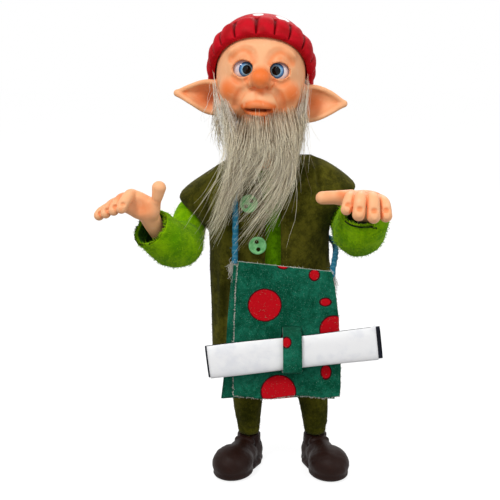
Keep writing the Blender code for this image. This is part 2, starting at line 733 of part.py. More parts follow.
def vest_angle(height, x):
    """The angle at which the vest's ring reaches an x in front."""
    low = 0.0
    high = math.pi
    for _ in range(30):
        angle = (low + high) / 2.0
        if vest_ring(height, angle)[0] > x:
            low = angle
        else:
            high = angle
    return low


VEST_ROWS = (0.0688, 0.0950, 0.1230, 0.1450, 0.1590, 0.1660, 0.1730, 0.1790, 0.1845, 0.1910, 0.1970, 0.2065)


def armhole(height):
    """How far the panels part at the side, as an angle, where the sleeve comes through."""
    half_open = SEAM_GAP
    if ARMHOLE_LOW < height < ARMHOLE_HIGH:
        share = (height - ARMHOLE_LOW) / (ARMHOLE_HIGH - ARMHOLE_LOW)
        half_open += ARMHOLE_OPEN * math.sin(math.pi * share)
    return (half_open / along(VEST_DEPTH, height)) ** (VEST_POWER / 2.0)


def build_vest():
    rows = len(VEST_ROWS) - 1

    def height_at(v):
        return VEST_ROWS[round(v * rows)]

    def front_right(u, v):
        height = height_at(v)
        end = math.pi - armhole(height)
        start = vest_angle(height, along(VEST_OPENING_RIGHT, height))
        return vest_ring(height, end + (start - end) * u)

    def front_left(u, v):
        height = height_at(v)
        start = vest_angle(height, along(VEST_OPENING_LEFT, height))
        end = armhole(height)
        return vest_ring(height, start + (end - start) * u)

    def back(u, v):
        height = height_at(v)
        gap = armhole(height)
        return vest_ring(height, -gap - (math.pi - 2.0 * gap) * u)
    sheet("vest_front_right", 6, rows, front_right, FELT_OLIVE, FELT)
    sheet("vest_front_left", 6, rows, front_left, FELT_OLIVE, FELT)
    sheet("vest_back", 10, rows, back, FELT_OLIVE, FELT)


def build_buttons():
    for name, (x, height, turn) in (("upper", BUTTON_UPPER), ("lower", BUTTON_LOWER)):
        front = min(vest_ring(height, vest_angle(height, x + shift))[1]
                    for shift in (-BUTTON_RADIUS, 0.0, BUTTON_RADIUS))
        middle = Vector((x, front - GAP - BUTTON_THICKNESS / 2.0 - 0.0004, height))
        facing = Matrix.Rotation(math.radians(90.0), 4, "X")
        shape = bmesh.new()
        bmesh.ops.create_cone(shape, cap_ends=True, segments=14, radius1=BUTTON_RADIUS, radius2=BUTTON_RADIUS,
                              depth=BUTTON_THICKNESS, matrix=facing)
        button = mesh_object("button_" + name, shape, BUTTON_GREEN)
        button.location = middle
        button.rotation_euler = (0.0, math.radians(-turn), 0.0)
        rounding = button.modifiers.new("rounding", "BEVEL")
        rounding.width = 0.0004
        rounding.segments = 1
        holes = bmesh.new()
        for side in (-1.0, 1.0):
            spot = Matrix.Translation((side * BUTTON_HOLE_SPACING / 2.0, 0.0, 0.0))
            bmesh.ops.create_cone(holes, cap_ends=True, segments=6, radius1=BUTTON_HOLE_RADIUS,
                                  radius2=BUTTON_HOLE_RADIUS, depth=BUTTON_THICKNESS * 2.0,
                                  matrix=spot @ facing)
        boolean(button, mesh_object("holes_" + name, holes, None, button, CUTTERS))


# Legs and boots


def leg_line(hip, knee, ankle):
    """The wire inside one leg, from the hip down into the boot."""
    lowest = Vector((ankle[0], ankle[1], LEG_WIRE_BOTTOM))
    top = Vector((hip[0], hip[1], LEG_WIRE_TOP))
    return [top, Vector(hip), Vector(knee), Vector(ankle), lowest]


LEGS = (("right", HIP_RIGHT, KNEE_RIGHT, ANKLE_RIGHT, BOOT_TURN_RIGHT, -1.0),
        ("left", HIP_LEFT, KNEE_LEFT, ANKLE_LEFT, BOOT_TURN_LEFT, 1.0))


def build_trousers():
    waist = BODY[0][0] - GAP
    shape = bmesh.new()
    lowest = BOOT_HEIGHT + GAP
    ball(shape, (BODY[0][1] + 0.0010, 0.0, waist - 0.0080), (0.0300, 0.0195, 0.0230), detail=28)
    for _, hip, knee, ankle, _, _ in LEGS:
        under = (ankle[0], ankle[1], lowest - ANKLE_RADIUS)
        limb(shape, (hip, knee, ankle, under), (THIGH_RADIUS, KNEE_RADIUS, ANKLE_RADIUS, ANKLE_RADIUS), 6)
    trousers = sculpt("trousers", shape, TROUSER_CLOTH, 0.0012, 3, 350)
    boolean(trousers, box_cutter("waist_cut", (-0.05, -0.05, waist), (0.09, 0.05, waist + 0.04), STAND))
    boolean(trousers, box_cutter("ankle_cut", (-0.05, -0.05, lowest - 0.03), (0.09, 0.05, lowest), STAND))
    for name, hip, knee, ankle, _, _ in LEGS:
        line = leg_line(hip, knee, ankle)
        bore = [line[0] + Vector((0.0, 0.0, GAP))] + line[1:]
        boolean(trousers, rod_cutter("leg_bore_" + name, bore, LEG_WIRE_RADIUS + GAP, sides=1))
        rod("leg_wire_" + name, line, LEG_WIRE_RADIUS, WIRE, sides=1)


def build_boots():
    for name, hip, knee, ankle, turn, side in LEGS:
        foot = empty("boot_frame_" + name, STAND, (ankle[0], ankle[1], 0.0),
                     (0.0, 0.0, math.radians(side * turn)))
        shape = bmesh.new()
        ball(shape, (0.0, -TOE_REACH + 0.0010, TOE_HEIGHT - 0.0025), (TOE_WIDTH, TOE_LENGTH, TOE_HEIGHT))
        ball(shape, (0.0, -TOE_REACH * 0.42, 0.0095), (0.0095, 0.0130, 0.0100))
        ball(shape, (0.0, 0.0010, 0.0080), (0.0088, 0.0095, 0.0100))
        limb(shape, ((0.0, 0.0, 0.0080), (0.0, 0.0, BOOT_HEIGHT)), (0.0080, 0.0078), 5)
        ball(shape, (0.0, -0.0075, BOOT_HEIGHT - 0.0035), (0.0072, 0.0036, 0.0040), (20.0, 0.0, 0.0))
        ball(shape, (0.0, -TOE_REACH + 0.0015, WELT_HEIGHT / 2), (TOE_WIDTH + WELT_EDGE, TOE_LENGTH + WELT_EDGE,
                                                                 WELT_HEIGHT), detail=24)
        ball(shape, (0.0, 0.0, WELT_HEIGHT / 2), (0.0100, 0.0112, WELT_HEIGHT))
        boot = sculpt("boot_" + name, shape, CLAY_BROWN, 0.0008, 2, 330, foot)
        boolean(boot, box_cutter("floor_" + name, (-0.05, -0.09, -0.03), (0.09, 0.06, 0.0), STAND))
        boolean(boot, box_cutter("boot_top_" + name, (-0.05, -0.09, BOOT_HEIGHT), (0.09, 0.06, 0.05), STAND))
        line = leg_line(hip, knee, ankle)
        bore = [line[-2] + Vector((0.0, 0.0, 0.01)), line[-2], line[-1] - Vector((0.0, 0.0, GAP))]
        boolean(boot, rod_cutter("boot_bore_" + name, bore, LEG_WIRE_RADIUS + GAP, sides=1))


# Bag, scroll and strap


def corner_blend(top, low, u, v):
    """Blend four corners in X and Z: u across, v downward."""
    upper = Vector((top[0], 0.0, top[1])).lerp(Vector((top[2], 0.0, top[3])), u)
    lower = Vector((low[0], 0.0, low[1])).lerp(Vector((low[2], 0.0, low[3])), u)
    return upper.lerp(lower, v)


def scroll_line(share):
    """A point of the scroll's middle line, from the elf's right to the left, in X and Z."""
    return Vector((SCROLL_RIGHT_END[0] + (SCROLL_LEFT_END[0] - SCROLL_RIGHT_END[0]) * share,
                   0.0,
                   SCROLL_RIGHT_END[1] + (SCROLL_LEFT_END[1] - SCROLL_RIGHT_END[1]) * share))


def scroll_middle_depth():
    """How far in front of the middle plane the scroll's own middle lies."""
    return BAG_FRONT + BAG_RIPPLE + BAG_FELT + 2.0 * GAP + SCROLL_THICKNESS / 2.0 + PAPER_WALL


def build_bag():
    def pouch(u, v):
        point = corner_blend(POUCH_TOP, POUCH_LOW, u, v)
        point.y = -BAG_FRONT + BAG_RIPPLE + GAP
        return point
    sheet("bag_pouch", 6, 4, pouch, BAG_CLOTH, POUCH_THICKNESS, side=1.0)
    width = BAG_LOW[2] - BAG_LOW[0]
    slot = [(edge - BAG_LOW[0]) / width for edge in STRAP_SLOT]
    slit = SLIT_WIDTH / width
    columns = (0.0, 0.16, 0.34, slot[0], slot[0] + slit, (slot[0] + slot[1]) / 2.0, slot[1] - slit, slot[1],
               0.80, 1.0)
    top = (BAG_TOP[1] + BAG_TOP[3]) / 2.0
    drop = top - (BAG_LOW[1] + BAG_LOW[3]) / 2.0
    middle = (top - scroll_line(0.5).z) / drop
    over = (SCROLL_HEIGHT / 2.0 + SLIT_REACH) / drop
    bulge = scroll_middle_depth() + SCROLL_THICKNESS / 2.0 + PAPER_WALL + 3.0 * GAP - BAG_FRONT
    slope = 0.5 * bulge / drop
    rows = (0.0, 0.18, 0.36, middle - over - slope, middle - over, middle, middle + over, middle + over + slope,
            0.90, 1.0)
    inside = range(4, 7)

    def flap(u, v):
        column = round(u * (len(columns) - 1))
        row = round(v * (len(rows) - 1))
        across = columns[column]
        down = rows[row]
        point = corner_blend(BAG_TOP, BAG_LOW, across, down)
        swell = BAG_SWELL * math.sin(math.pi * down) ** 0.7
        point.x += swell * across - 0.4 * swell * (1.0 - across)
        point.y = -BAG_FRONT + 0.5 * BAG_RIPPLE * math.sin(2.0 * math.pi * (1.3 * across + 0.3)) * down
        if column in inside and 4 <= row <= 6:
            point.y = -BAG_FRONT - bulge
        return point

    def slits(u, v):
        column = int(u * (len(columns) - 1))
        row = int(v * (len(rows) - 1))
        return column in (3, 6) and 3 <= row <= 6
    sheet("bag_flap", len(columns) - 1, len(rows) - 1, flap, BAG_CLOTH, BAG_FELT, skip=slits)


def build_scroll():
    lean = math.atan2(SCROLL_LEFT_END[1] - SCROLL_RIGHT_END[1], SCROLL_LEFT_END[0] - SCROLL_RIGHT_END[0])
    length = (Vector((SCROLL_LEFT_END[0], SCROLL_LEFT_END[1]))
              - Vector((SCROLL_RIGHT_END[0], SCROLL_RIGHT_END[1]))).length
    depth = scroll_middle_depth()
    step = math.radians(18.0)
    start = -3 * step
    turns = 24
    face = 8

    def roll(angle, along_roll, grow):
        """A point round the flattened roll: angle 0 at its upper edge, a quarter turn in front."""
        up, back = oval(angle, SCROLL_HEIGHT / 2.0 + grow, SCROLL_THICKNESS / 2.0 + grow, 3.0)
        point = scroll_line(along_roll)
        return point.x - up * math.sin(lean), -depth + back, point.z + up * math.cos(lean)

    def backing(u, v):
        inward = min(1.0, max(0.0, (u * turns - 13.0) / 7.0))
        return roll(start + step * turns * u, v, -inward * (SCROLL_WALL + 2.0 * GAP))

    def paper(u, v):
        inset = PAPER_INSET / length
        share = inset + (1.0 - 2.6 * inset) * v
        return roll(step + step * face * u, share, PAPER_WALL + GAP)
    sheet("scroll_backing", turns, 1, backing, BLACK_CARD, SCROLL_WALL)
    sheet("scroll_paper", face, 2, paper, PAPER, PAPER_WALL)


STRAP_ROUTE = (
    (-0.0055, -0.0302, 0.1445), (-0.0052, -0.0292, 0.1580), (-0.0050, -0.0298, 0.1710), (-0.0052, -0.0296, 0.1820),
    (-0.0058, -0.0274, 0.1910), (-0.0064, -0.0236, 0.1995), (-0.0070, -0.0182, 0.2066), (-0.0076, -0.0100, 0.2110),
    (-0.0078, 0.0010, 0.2122), (-0.0070, 0.0115, 0.2106), (-0.0045, 0.0192, 0.2058), (-0.0005, 0.0246, 0.1978),
    (0.0060, 0.0283, 0.1890), (0.0150, 0.0298, 0.1802), (0.0250, 0.0300, 0.1720), (0.0350, 0.0296, 0.1645),
    (0.0450, 0.0276, 0.1585), (0.0545, 0.0218, 0.1540), (0.0600, 0.0115, 0.1510), (0.0608, 0.0000, 0.1490),
    (0.0600, -0.0110, 0.1465), (0.0584, -0.0205, 0.1430), (0.0570, -0.0272, 0.1385), (0.0567, -0.0302, 0.1330),
)


def build_strap():
    rod("bag_strap", [Vector(point) for point in STRAP_ROUTE], STRAP_RADIUS, YARN)


# Hands


def build_hands():
    shape = bmesh.new()
    limb(shape, ((-0.0525, -0.0425, 0.1665), (-0.0572, -0.0500, 0.1780)), (0.0050, 0.0062), 5)
    ball(shape, (-0.0615, -0.0545, 0.1845), (0.0105, 0.0052, 0.0080), (0.0, 18.0, 0.0))
    ball(shape, (-0.0670, -0.0550, 0.1875), (0.0085, 0.0050, 0.0065), (0.0, -25.0, 0.0))
    limb(shape, ((-0.0555, -0.0540, 0.1840), (-0.0520, -0.0575, 0.1895), (-0.0503, -0.0590, 0.1965)),
         (0.0046, 0.0031, 0.0042))
    fingers = (
        ((-0.0670, -0.0560, 0.1920), (-0.0700, -0.0640, 0.1895), (-0.0722, -0.0660, 0.1852)),
        ((-0.0715, -0.0530, 0.1895), (-0.0752, -0.0610, 0.1872), (-0.0772, -0.0630, 0.1835)),
        ((-0.0755, -0.0505, 0.1865), (-0.0805, -0.0575, 0.1845), (-0.0826, -0.0590, 0.1812)),
        ((-0.0790, -0.0480, 0.1835), (-0.0850, -0.0535, 0.1815), (-0.0872, -0.0550, 0.1793)),
    )
    for finger in fingers:
        limb(shape, ((-0.0625, -0.0525, 0.1860),) + finger, (0.0038, 0.0038, 0.0036, 0.0030), 4)
    hand = sculpt("hand_right", shape, CLAY_SKIN, 0.0007, 2, 570)
    cut_wrist(hand, "right", Vector(ARM_RIGHT[-1]), Vector(ARM_RIGHT[-2]))

    shape = bmesh.new()
    limb(shape, ((0.0742, -0.0465, 0.1795), (0.0740, -0.0530, 0.1860)), (0.0055, 0.0068), 5)
    ball(shape, (0.0725, -0.0610, 0.1905), (0.0115, 0.0110, 0.0050))
    limb(shape, ((0.0640, -0.0610, 0.1905), (0.0545, -0.0640, 0.1915), (0.0470, -0.0655, 0.1915)),
         (0.0042, 0.0033, 0.0034))
    fingers = (
        ((0.0640, -0.0680, 0.1930), (0.0620, -0.0775, 0.1930), (0.0600, -0.0815, 0.1870)),
        ((0.0695, -0.0700, 0.1930), (0.0680, -0.0810, 0.1930), (0.0668, -0.0850, 0.1845)),
        ((0.0755, -0.0700, 0.1925), (0.0755, -0.0805, 0.1920), (0.0755, -0.0845, 0.1832)),
        ((0.0810, -0.0670, 0.1905), (0.0825, -0.0765, 0.1895), (0.0832, -0.0800, 0.1830)),
    )
    for finger, width in zip(fingers, (0.0032, 0.0036, 0.0038, 0.0036)):
        limb(shape, finger, (width, width, width * 0.96), 6)
    hand = sculpt("hand_left", shape, CLAY_SKIN, 0.0007, 2, 570)
    cut_wrist(hand, "left", Vector(ARM_LEFT[-1]), Vector(ARM_LEFT[-2]))


def cut_wrist(hand, name, end, before):
    """Cut the wrist flat where the arm's end meets it."""
    direction = (end - before).normalized()
    across = direction.cross(Vector((0.0, 0.0, 1.0))).normalized()
    frame = Matrix((across, direction.cross(across), direction)).transposed().to_4x4()
    depth = 0.02
    shape = bmesh.new()
    middle = end + direction * (GAP - depth / 2.0)
    bmesh.ops.create_cone(shape, cap_ends=True, segments=16, radius1=0.012, radius2=0.012, depth=depth,
                          matrix=Matrix.Translation(middle) @ frame)
    boolean(hand, mesh_object("wrist_cut_" + name, shape, None, STAND, CUTTERS))


build_head()
build_cap()
build_hair()
build_body()
build_arms()
build_sweater()
build_sleeves()
build_vest()
build_buttons()
build_trousers()
build_boots()
build_bag()
build_scroll()
build_strap()
build_hands()
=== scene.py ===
"""Elf figurine of modelled clay and sewn cloth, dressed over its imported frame."""
import logging
import math
from dataclasses import dataclass, field
from enum import Enum
from typing import Callable, Sequence

import bmesh
import bpy
import numpy as np
from mathutils import Euler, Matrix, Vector


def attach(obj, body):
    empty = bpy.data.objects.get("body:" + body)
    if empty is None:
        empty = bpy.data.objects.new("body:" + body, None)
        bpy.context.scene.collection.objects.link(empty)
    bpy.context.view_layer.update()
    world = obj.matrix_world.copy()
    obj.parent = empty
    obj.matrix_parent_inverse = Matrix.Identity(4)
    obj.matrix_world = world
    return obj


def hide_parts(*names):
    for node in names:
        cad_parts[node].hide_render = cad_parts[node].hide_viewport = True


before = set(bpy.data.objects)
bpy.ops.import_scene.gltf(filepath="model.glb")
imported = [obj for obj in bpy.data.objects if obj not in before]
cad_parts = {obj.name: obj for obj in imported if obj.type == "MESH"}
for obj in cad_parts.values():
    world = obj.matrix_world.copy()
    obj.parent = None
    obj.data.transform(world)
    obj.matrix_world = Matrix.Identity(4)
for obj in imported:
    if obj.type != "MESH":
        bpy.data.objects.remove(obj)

LOG = logging.getLogger("elf_figurine")
MM = 0.001
PER_METRE = 1000.0
STAND = np.array((0.4, 27.2, 0.0))
HEAD_PLACE = np.array((11.4, 0.0, 265.4))
HEAD_TURN = Euler((0.0, math.radians(3.6), math.radians(-0.6))).to_matrix()

Point = tuple[float, float, float]
Colour = tuple[float, float, float, float]


def srgb(red: float, green: float, blue: float) -> Colour:
    """Turn a colour seen on a screen, 0 to 255, into Blender's linear one.

    Args:
        red: Red share.
        green: Green share.
        blue: Blue share.

    Returns:
        The linear colour with full alpha.
    """
    def linear(value: float) -> float:
        """Undo the screen's curve for one channel."""
        share = value / 255.0
        return share / 12.92 if share <= 0.04045 else ((share + 0.055) / 1.055) ** 2.4
    return (linear(red), linear(green), linear(blue), 1.0)


# Node building

def sign(kind: str, flipped: bool = False) -> Callable[["Sock", "Sock | float"], "Sock"]:
    """Make the method behind an arithmetic sign.

    Args:
        kind: The Math node's operation.
        flipped: Whether the other value comes first.

    Returns:
        The method.
    """
    def apply(self: "Sock", other: "Sock | float") -> "Sock":
        """Put both values in a Math node."""
        pair = (other, self) if flipped else (self, other)
        return self.tree.node("ShaderNodeMath", {"operation": kind}, dict(enumerate(pair)))
    return apply


class Sock:
    """A node's value that takes ordinary arithmetic."""

    __add__ = __radd__ = sign("ADD")
    __mul__ = __rmul__ = sign("MULTIPLY")
    __sub__ = sign("SUBTRACT")
    __rsub__ = sign("SUBTRACT", True)
    __truediv__ = sign("DIVIDE")
    __rtruediv__ = sign("DIVIDE", True)
    __pow__ = sign("POWER")
    least = sign("MINIMUM")
    most = sign("MAXIMUM")

    def __init__(self, tree: "Tree", socket: bpy.types.NodeSocket) -> None:
        """Keep the socket and the tree it belongs to."""
        self.tree = tree
        self.socket = socket

    def step(self, low: float, high: float) -> "Sock":
        """A smooth step from 0 at low to 1 at high."""
        return self.tree.node("ShaderNodeMapRange", {"interpolation_type": "SMOOTHSTEP"},
                              {0: self, 1: low, 2: high, 3: 0.0, 4: 1.0})


class Tree:
    """A node tree with one call for any node."""

    def __init__(self, raw: bpy.types.NodeTree) -> None:
        """Keep the tree."""
        self.raw = raw

    def feed(self, value: "Sock | float | Sequence[float]", socket: bpy.types.NodeSocket) -> None:
        """Link a value to a socket, or set the socket to it."""
        if isinstance(value, Sock):
            self.raw.links.new(value.socket, socket)
        else:
            socket.default_value = value

    def node(self, kind: str, settings: dict | None = None, feeds: dict | None = None,
             output: int | str = 0) -> Sock:
        """Add a node.

        Args:
            kind: The node's type.
            settings: Properties set first.
            feeds: Values or Socks for its inputs, by name or number.
            output: The output that is wanted.

        Returns:
            That output.
        """
        made = self.raw.nodes.new(kind)
        for key, value in (settings or {}).items():
            setattr(made, key, value)
        for key, value in (feeds or {}).items():
            self.feed(value, made.inputs[key])
        return Sock(self, made.outputs[output])

    def mix(self, low: Sock | Colour, high: Sock | Colour, share: Sock | float) -> Sock:
        """Blend two colours."""
        return self.node("ShaderNodeMix", {"data_type": "RGBA"}, {0: share, 6: low, 7: high}, 2)

    def seen(self) -> Sock:
        """1 for the rays that should meet a white background."""
        rays = [self.node("ShaderNodeLightPath", output=f"Is {kind} Ray")
                for kind in ("Camera", "Glossy", "Transmission")]
        return rays[0].most(rays[1]).most(rays[2])


class Board(Tree):
    """One material's nodes, with short calls for what the finishes need."""

    def __init__(self, name: str) -> None:
        """Start a material with only its Principled shader."""
        self.material = bpy.data.materials.new(name)
        self.material.use_nodes = True
        super().__init__(self.material.node_tree)
        self.shader = self.raw.nodes["Principled BSDF"]

    def place(self) -> Sock:
        """The surface point in the object's own frame."""
        return self.node("ShaderNodeTexCoord", output="Object")

    def axis(self, place: Sock, number: int) -> Sock:
        """One coordinate of a point."""
        return self.node("ShaderNodeSeparateXYZ", {}, {0: place}, number)

    def stretched(self, place: Sock, scale: Point, turn: Point) -> Sock:
        """The point scaled and turned, for a grain with a direction."""
        return self.node("ShaderNodeMapping", {}, {"Vector": place, "Rotation": turn, "Scale": scale})

    def noise(self, scale: float, detail: float = 2.0, rough: float = 0.5, place: Sock | None = None) -> Sock:
        """Soft noise from 0 to 1 at a scale per metre."""
        return self.node("ShaderNodeTexNoise", {},
                         {"Vector": place or self.place(), "Scale": scale, "Detail": detail,
                          "Roughness": rough})

    def attribute(self, name: str) -> Sock:
        """A number stored on the mesh."""
        return self.node("ShaderNodeAttribute", {"attribute_name": name}, output="Fac")

    def distance(self, place: Sock, centre: Point) -> Sock:
        """Distance from a point, in metres."""
        return self.node("ShaderNodeVectorMath", {"operation": "DISTANCE"}, {0: place, 1: centre}, "Value")

    def bump(self, height: Sock, strength: float, depth: float) -> Sock:
        """A normal from a height from 0 to 1."""
        return self.node("ShaderNodeBump", {}, {"Height": height, "Strength": strength, "Distance": depth})

    def finish(self, colour: Sock | Colour, roughness: Sock | float, normal: Sock | None = None,
               **others: Sock | float) -> bpy.types.Material:
        """Feed the shader and give the material.

        Args:
            colour: Base colour.
            roughness: Roughness.
            normal: Bumped normal.
            **others: Values for other sockets, with spaces as underscores.

        Returns:
            The material.
        """
        feeds = {"Base Color": colour, "Roughness": roughness, "Specular_IOR_Level": 0.14, **others}
        if normal:
            feeds["Normal"] = normal
        for key, value in feeds.items():
            self.feed(value, self.shader.inputs[key.replace("_", " ")])
        return self.material


@dataclass(frozen=True)
class Finish:
    """A surface finish that builds its material once."""

    name: str

    def paint(self, board: Board) -> bpy.types.Material:
        """Build the nodes on the board."""
        raise NotImplementedError

    def material(self) -> bpy.types.Material:
        """The finish's material, built on first use."""
        return bpy.data.materials.get(self.name) or self.paint(Board(self.name))


@dataclass(frozen=True)
class SkinClay(Finish):
    """Baked clay skin, with orange painted shade in its hollows and creases and orange colouring on what
    stands out.
    """

    base: Colour = srgb(250, 184, 134)
    warm: Colour = srgb(238, 116, 44)
    deep: Colour = srgb(150, 58, 20)

    def paint(self, board: Board) -> bpy.types.Material:
        """Blend the orange colouring and the orange painted shade by the numbers stored on the mesh."""
        mottle = board.noise(220.0, 3.0)
        fine = board.noise(1500.0, 2.0)
        # Orange mask: real colouring on nose, cheeks, chin and lips, and orange painted shade along the brow
        # creases, round the eye sockets, in the ear bowls and on the finger dimples.
        blush_and_shade = (board.attribute("blush_and_shade") + (mottle - 0.5) * 0.30).step(0.05, 0.95)
        colour = board.mix(self.base, self.warm, blush_and_shade * 0.95)
        # Orange painted shade in the hollows and creases.
        colour = board.mix(colour, self.warm, board.attribute("hollow_shade").step(0.06, 0.50) * 0.55)
        # Dark orange: the lips' own colour, and painted shade in the mouth slit, the ear bowls and the hands'
        # creases.
        colour = board.mix(colour, self.deep, board.attribute("deep").step(0.05, 1.0))
        colour = board.mix(colour, srgb(255, 212, 170), mottle.step(0.55, 0.80) * 0.35)
        normal = board.bump(fine * 0.5 + mottle * 0.5, 0.12, 0.0003)
        return board.finish(colour, 0.42 + fine * 0.14, normal, Specular_IOR_Level=0.22)


@dataclass(frozen=True)
class DollEye(Finish):
    """A glossy doll eye looking along one direction."""

    centre: Point
    gaze: Point
    radius: float

    def paint(self, board: Board) -> bpy.types.Material:
        """Rings by distance from the middle of the gaze."""
        place = board.place()
        looked = tuple(c + self.radius * g for c, g in zip(self.centre, self.gaze))
        reach = board.distance(place, looked) * PER_METRE
        streaks = board.noise(900.0, 3.0, 0.6)
        iris = board.mix(srgb(150, 196, 222), srgb(54, 112, 170),
                         (reach + (streaks - 0.5) * 1.4).step(2.6, 4.3))
        iris = board.mix(iris, srgb(22, 48, 92), (reach + (streaks - 0.5) * 0.5).step(4.30, 4.72))
        white = board.mix(srgb(232, 224, 226), srgb(196, 186, 204), board.noise(260.0).step(0.35, 0.75))
        colour = board.mix(iris, white, reach.step(4.80, 5.12))
        colour = board.mix(srgb(3, 3, 5), colour, reach.step(2.70, 2.95))
        return board.finish(colour, 0.08, Specular_IOR_Level=0.22)


@dataclass(frozen=True)
class CapClay(Finish):
    """Red clay with flat white spots."""

    spots: tuple[tuple[Point, float], ...]

    def paint(self, board: Board) -> bpy.types.Material:
        """Red with painted shade in the notches, with the spots laid on."""
        place = board.place()
        mottle = board.noise(160.0, 3.0)
        fine = board.noise(1300.0, 3.0, 0.6)
        colour = board.mix(srgb(196, 2, 26), srgb(166, 0, 12), mottle.step(0.35, 0.70))
        # Painted shade: dark red in the notches and along the seam.
        colour = board.mix(colour, srgb(104, 2, 8), board.attribute("hollow_shade").step(0.10, 0.85))
        edge = (fine - 0.5) * 0.9
        near = None
        for centre, radius in self.spots:
            gap = board.distance(place, centre) * PER_METRE - radius
            near = gap if near is None else near.least(gap)
        spot = (near + edge).step(-0.20, 0.20)
        colour = board.mix(board.mix(srgb(244, 240, 238), srgb(214, 206, 204), fine.step(0.5, 0.75)), colour,
                           spot)
        normal = board.bump(fine * 0.6 + mottle * 0.4, 0.22, 0.0003)
        return board.finish(colour, 0.48 + fine * 0.22, normal, Specular_IOR_Level=0.12)


@dataclass(frozen=True)
class PlainClay(Finish):
    """Dark modelled clay with worn, slightly lighter high places."""

    base: Colour
    deep: Colour
    worn: Colour

    def paint(self, board: Board) -> bpy.types.Material:
        """Paint shade into the hollows and rub the rest."""
        mottle = board.noise(240.0, 3.0, 0.6)
        fine = board.noise(1800.0, 3.0, 0.6)
        colour = board.mix(self.base, self.worn, (mottle * 0.6 + fine * 0.4).step(0.48, 0.72) * 0.6)
        # Painted shade: the deep colour in the hollows.
        colour = board.mix(colour, self.deep, board.attribute("hollow_shade").step(0.05, 0.55))
        normal = board.bump(mottle * 0.5 + fine * 0.5, 0.30, 0.0004)
        return board.finish(colour, 0.42 + mottle * 0.22, normal)


class Nap(Enum):
    """How a cloth's surface lies."""

    FELT = "felt"
    PLUSH = "plush"
    WOVEN = "woven"


@dataclass(frozen=True)
class Cloth(Finish):
    """Felt, plush or woven cloth with mottled fibres."""

    light: Colour
    dark: Colour
    fleck: Colour
    nap: Nap = Nap.FELT
    flecks: float = 0.5

    def dress(self, board: Board, colour: Sock) -> Sock:
        """A place for a print over the plain cloth."""
        return colour

    def paint(self, board: Board) -> bpy.types.Material:
        """Mottle the cloth at three scales and lay its fibres."""
        place = board.place()
        broad = board.noise(70.0, 3.0, 0.6, place)
        patch = board.noise(420.0, 4.0, 0.7, place)
        thread = board.noise(2600.0, 3.0, 0.7, place)
        hairs = board.noise(1.0, 2.0, 0.6, board.stretched(place, (3200.0, 3200.0, 700.0), (0.3, 0.2, 0.5)))
        cross = board.noise(1.0, 2.0, 0.6, board.stretched(place, (800.0, 3000.0, 3000.0), (0.2, 0.7, 0.3)))
        tone = broad * 0.45 + patch * 0.30 + thread * 0.25
        colour = board.mix(self.dark, self.light, tone.step(0.40, 0.62))
        # Painted shade: darker cloth in the creases and hollows.
        colour = board.mix(colour, self.dark, board.attribute("hollow_shade").step(0.0, 1.0) * 0.75)
        colour = board.mix(colour, self.fleck, (hairs * 0.5 + cross * 0.5).step(0.58, 0.72) * self.flecks)
        colour = self.dress(board, colour)
        if self.nap is Nap.WOVEN:
            rows = board.node("ShaderNodeTexWave", {"bands_direction": "Z"},
                              {"Vector": place, "Scale": 420.0, "Distortion": 1.5, "Detail": 1.0}, "Fac")
            colour = board.mix(colour, self.dark, rows.step(0.55, 0.9) * 0.5)
            height = rows * 0.6 + thread * 0.4
        else:
            height = thread * 0.40 + hairs * 0.30 + cross * 0.30
        normal = board.bump(height, 0.75 if self.nap is Nap.PLUSH else 0.55, 0.0006)
        return board.finish(colour, 0.95, normal, Sheen_Weight=0.04, Sheen_Roughness=0.5,
                            Specular_IOR_Level=0.04)


@dataclass(frozen=True)
class DottedFelt(Cloth):
    """Felt printed with round red dots in a dark outline."""

    dots: tuple[tuple[float, float, float, float], ...] = ()
    red: Colour = srgb(196, 12, 26)
    line: Colour = srgb(52, 4, 16)

    def dress(self, board: Board, colour: Sock) -> Sock:
        """Lay the dots over the cloth, seen from the front."""
        place = board.place()
        across = board.axis(place, 0) * PER_METRE
        up = board.axis(place, 2) * PER_METRE
        wobble = (board.noise(500.0, 3.0, 0.6, place) - 0.5) * 1.3
        near = None
        for x, z, wide, tall in self.dots:
            reach = (((across - x) / wide) ** 2.0 + ((up - z) / tall) ** 2.0) ** 0.5
            gap = (reach - 1.0) * min(wide, tall)
            near = gap if near is None else near.least(gap)
        near = near + wobble * 0.5
        fleck = board.noise(1500.0, 3.0, 0.7, place)
        red = board.mix(self.red, srgb(222, 96, 96), fleck.step(0.58, 0.76) * 0.28)
        return board.mix(board.mix(red, self.line, near.step(-0.75, -0.15)), colour, near.step(0.05, 0.55))


@dataclass(frozen=True)
class Fibre(Finish):
    """Hair or yarn, toned from strand to strand and from root to tip."""

    root: Colour
    tip: Colour
    shade: Colour
    roughness: float = 0.55

    def paint(self, board: Board) -> bpy.types.Material:
        """Blend by the strand's own tint and by how far along it is."""
        tint = board.attribute("tint")
        along = board.attribute("along")
        colour = board.mix(self.root, self.tip, along.step(0.0, 0.45))
        colour = board.mix(colour, self.shade, tint.step(0.45, 1.0))
        return board.finish(colour, self.roughness)


@dataclass(frozen=True)
class Paper(Finish):
    """Paper or thin card."""

    base: Colour
    soft: Colour

    def paint(self, board: Board) -> bpy.types.Material:
        """Faint fibres and clouds."""
        cloudy = board.noise(140.0, 3.0)
        fine = board.noise(3000.0, 3.0, 0.7)
        colour = board.mix(self.base, self.soft, (cloudy * 0.7 + fine * 0.3).step(0.42, 0.66))
        return board.finish(colour, 0.62, board.bump(cloudy * 0.6 + fine * 0.4, 0.12, 0.0003))


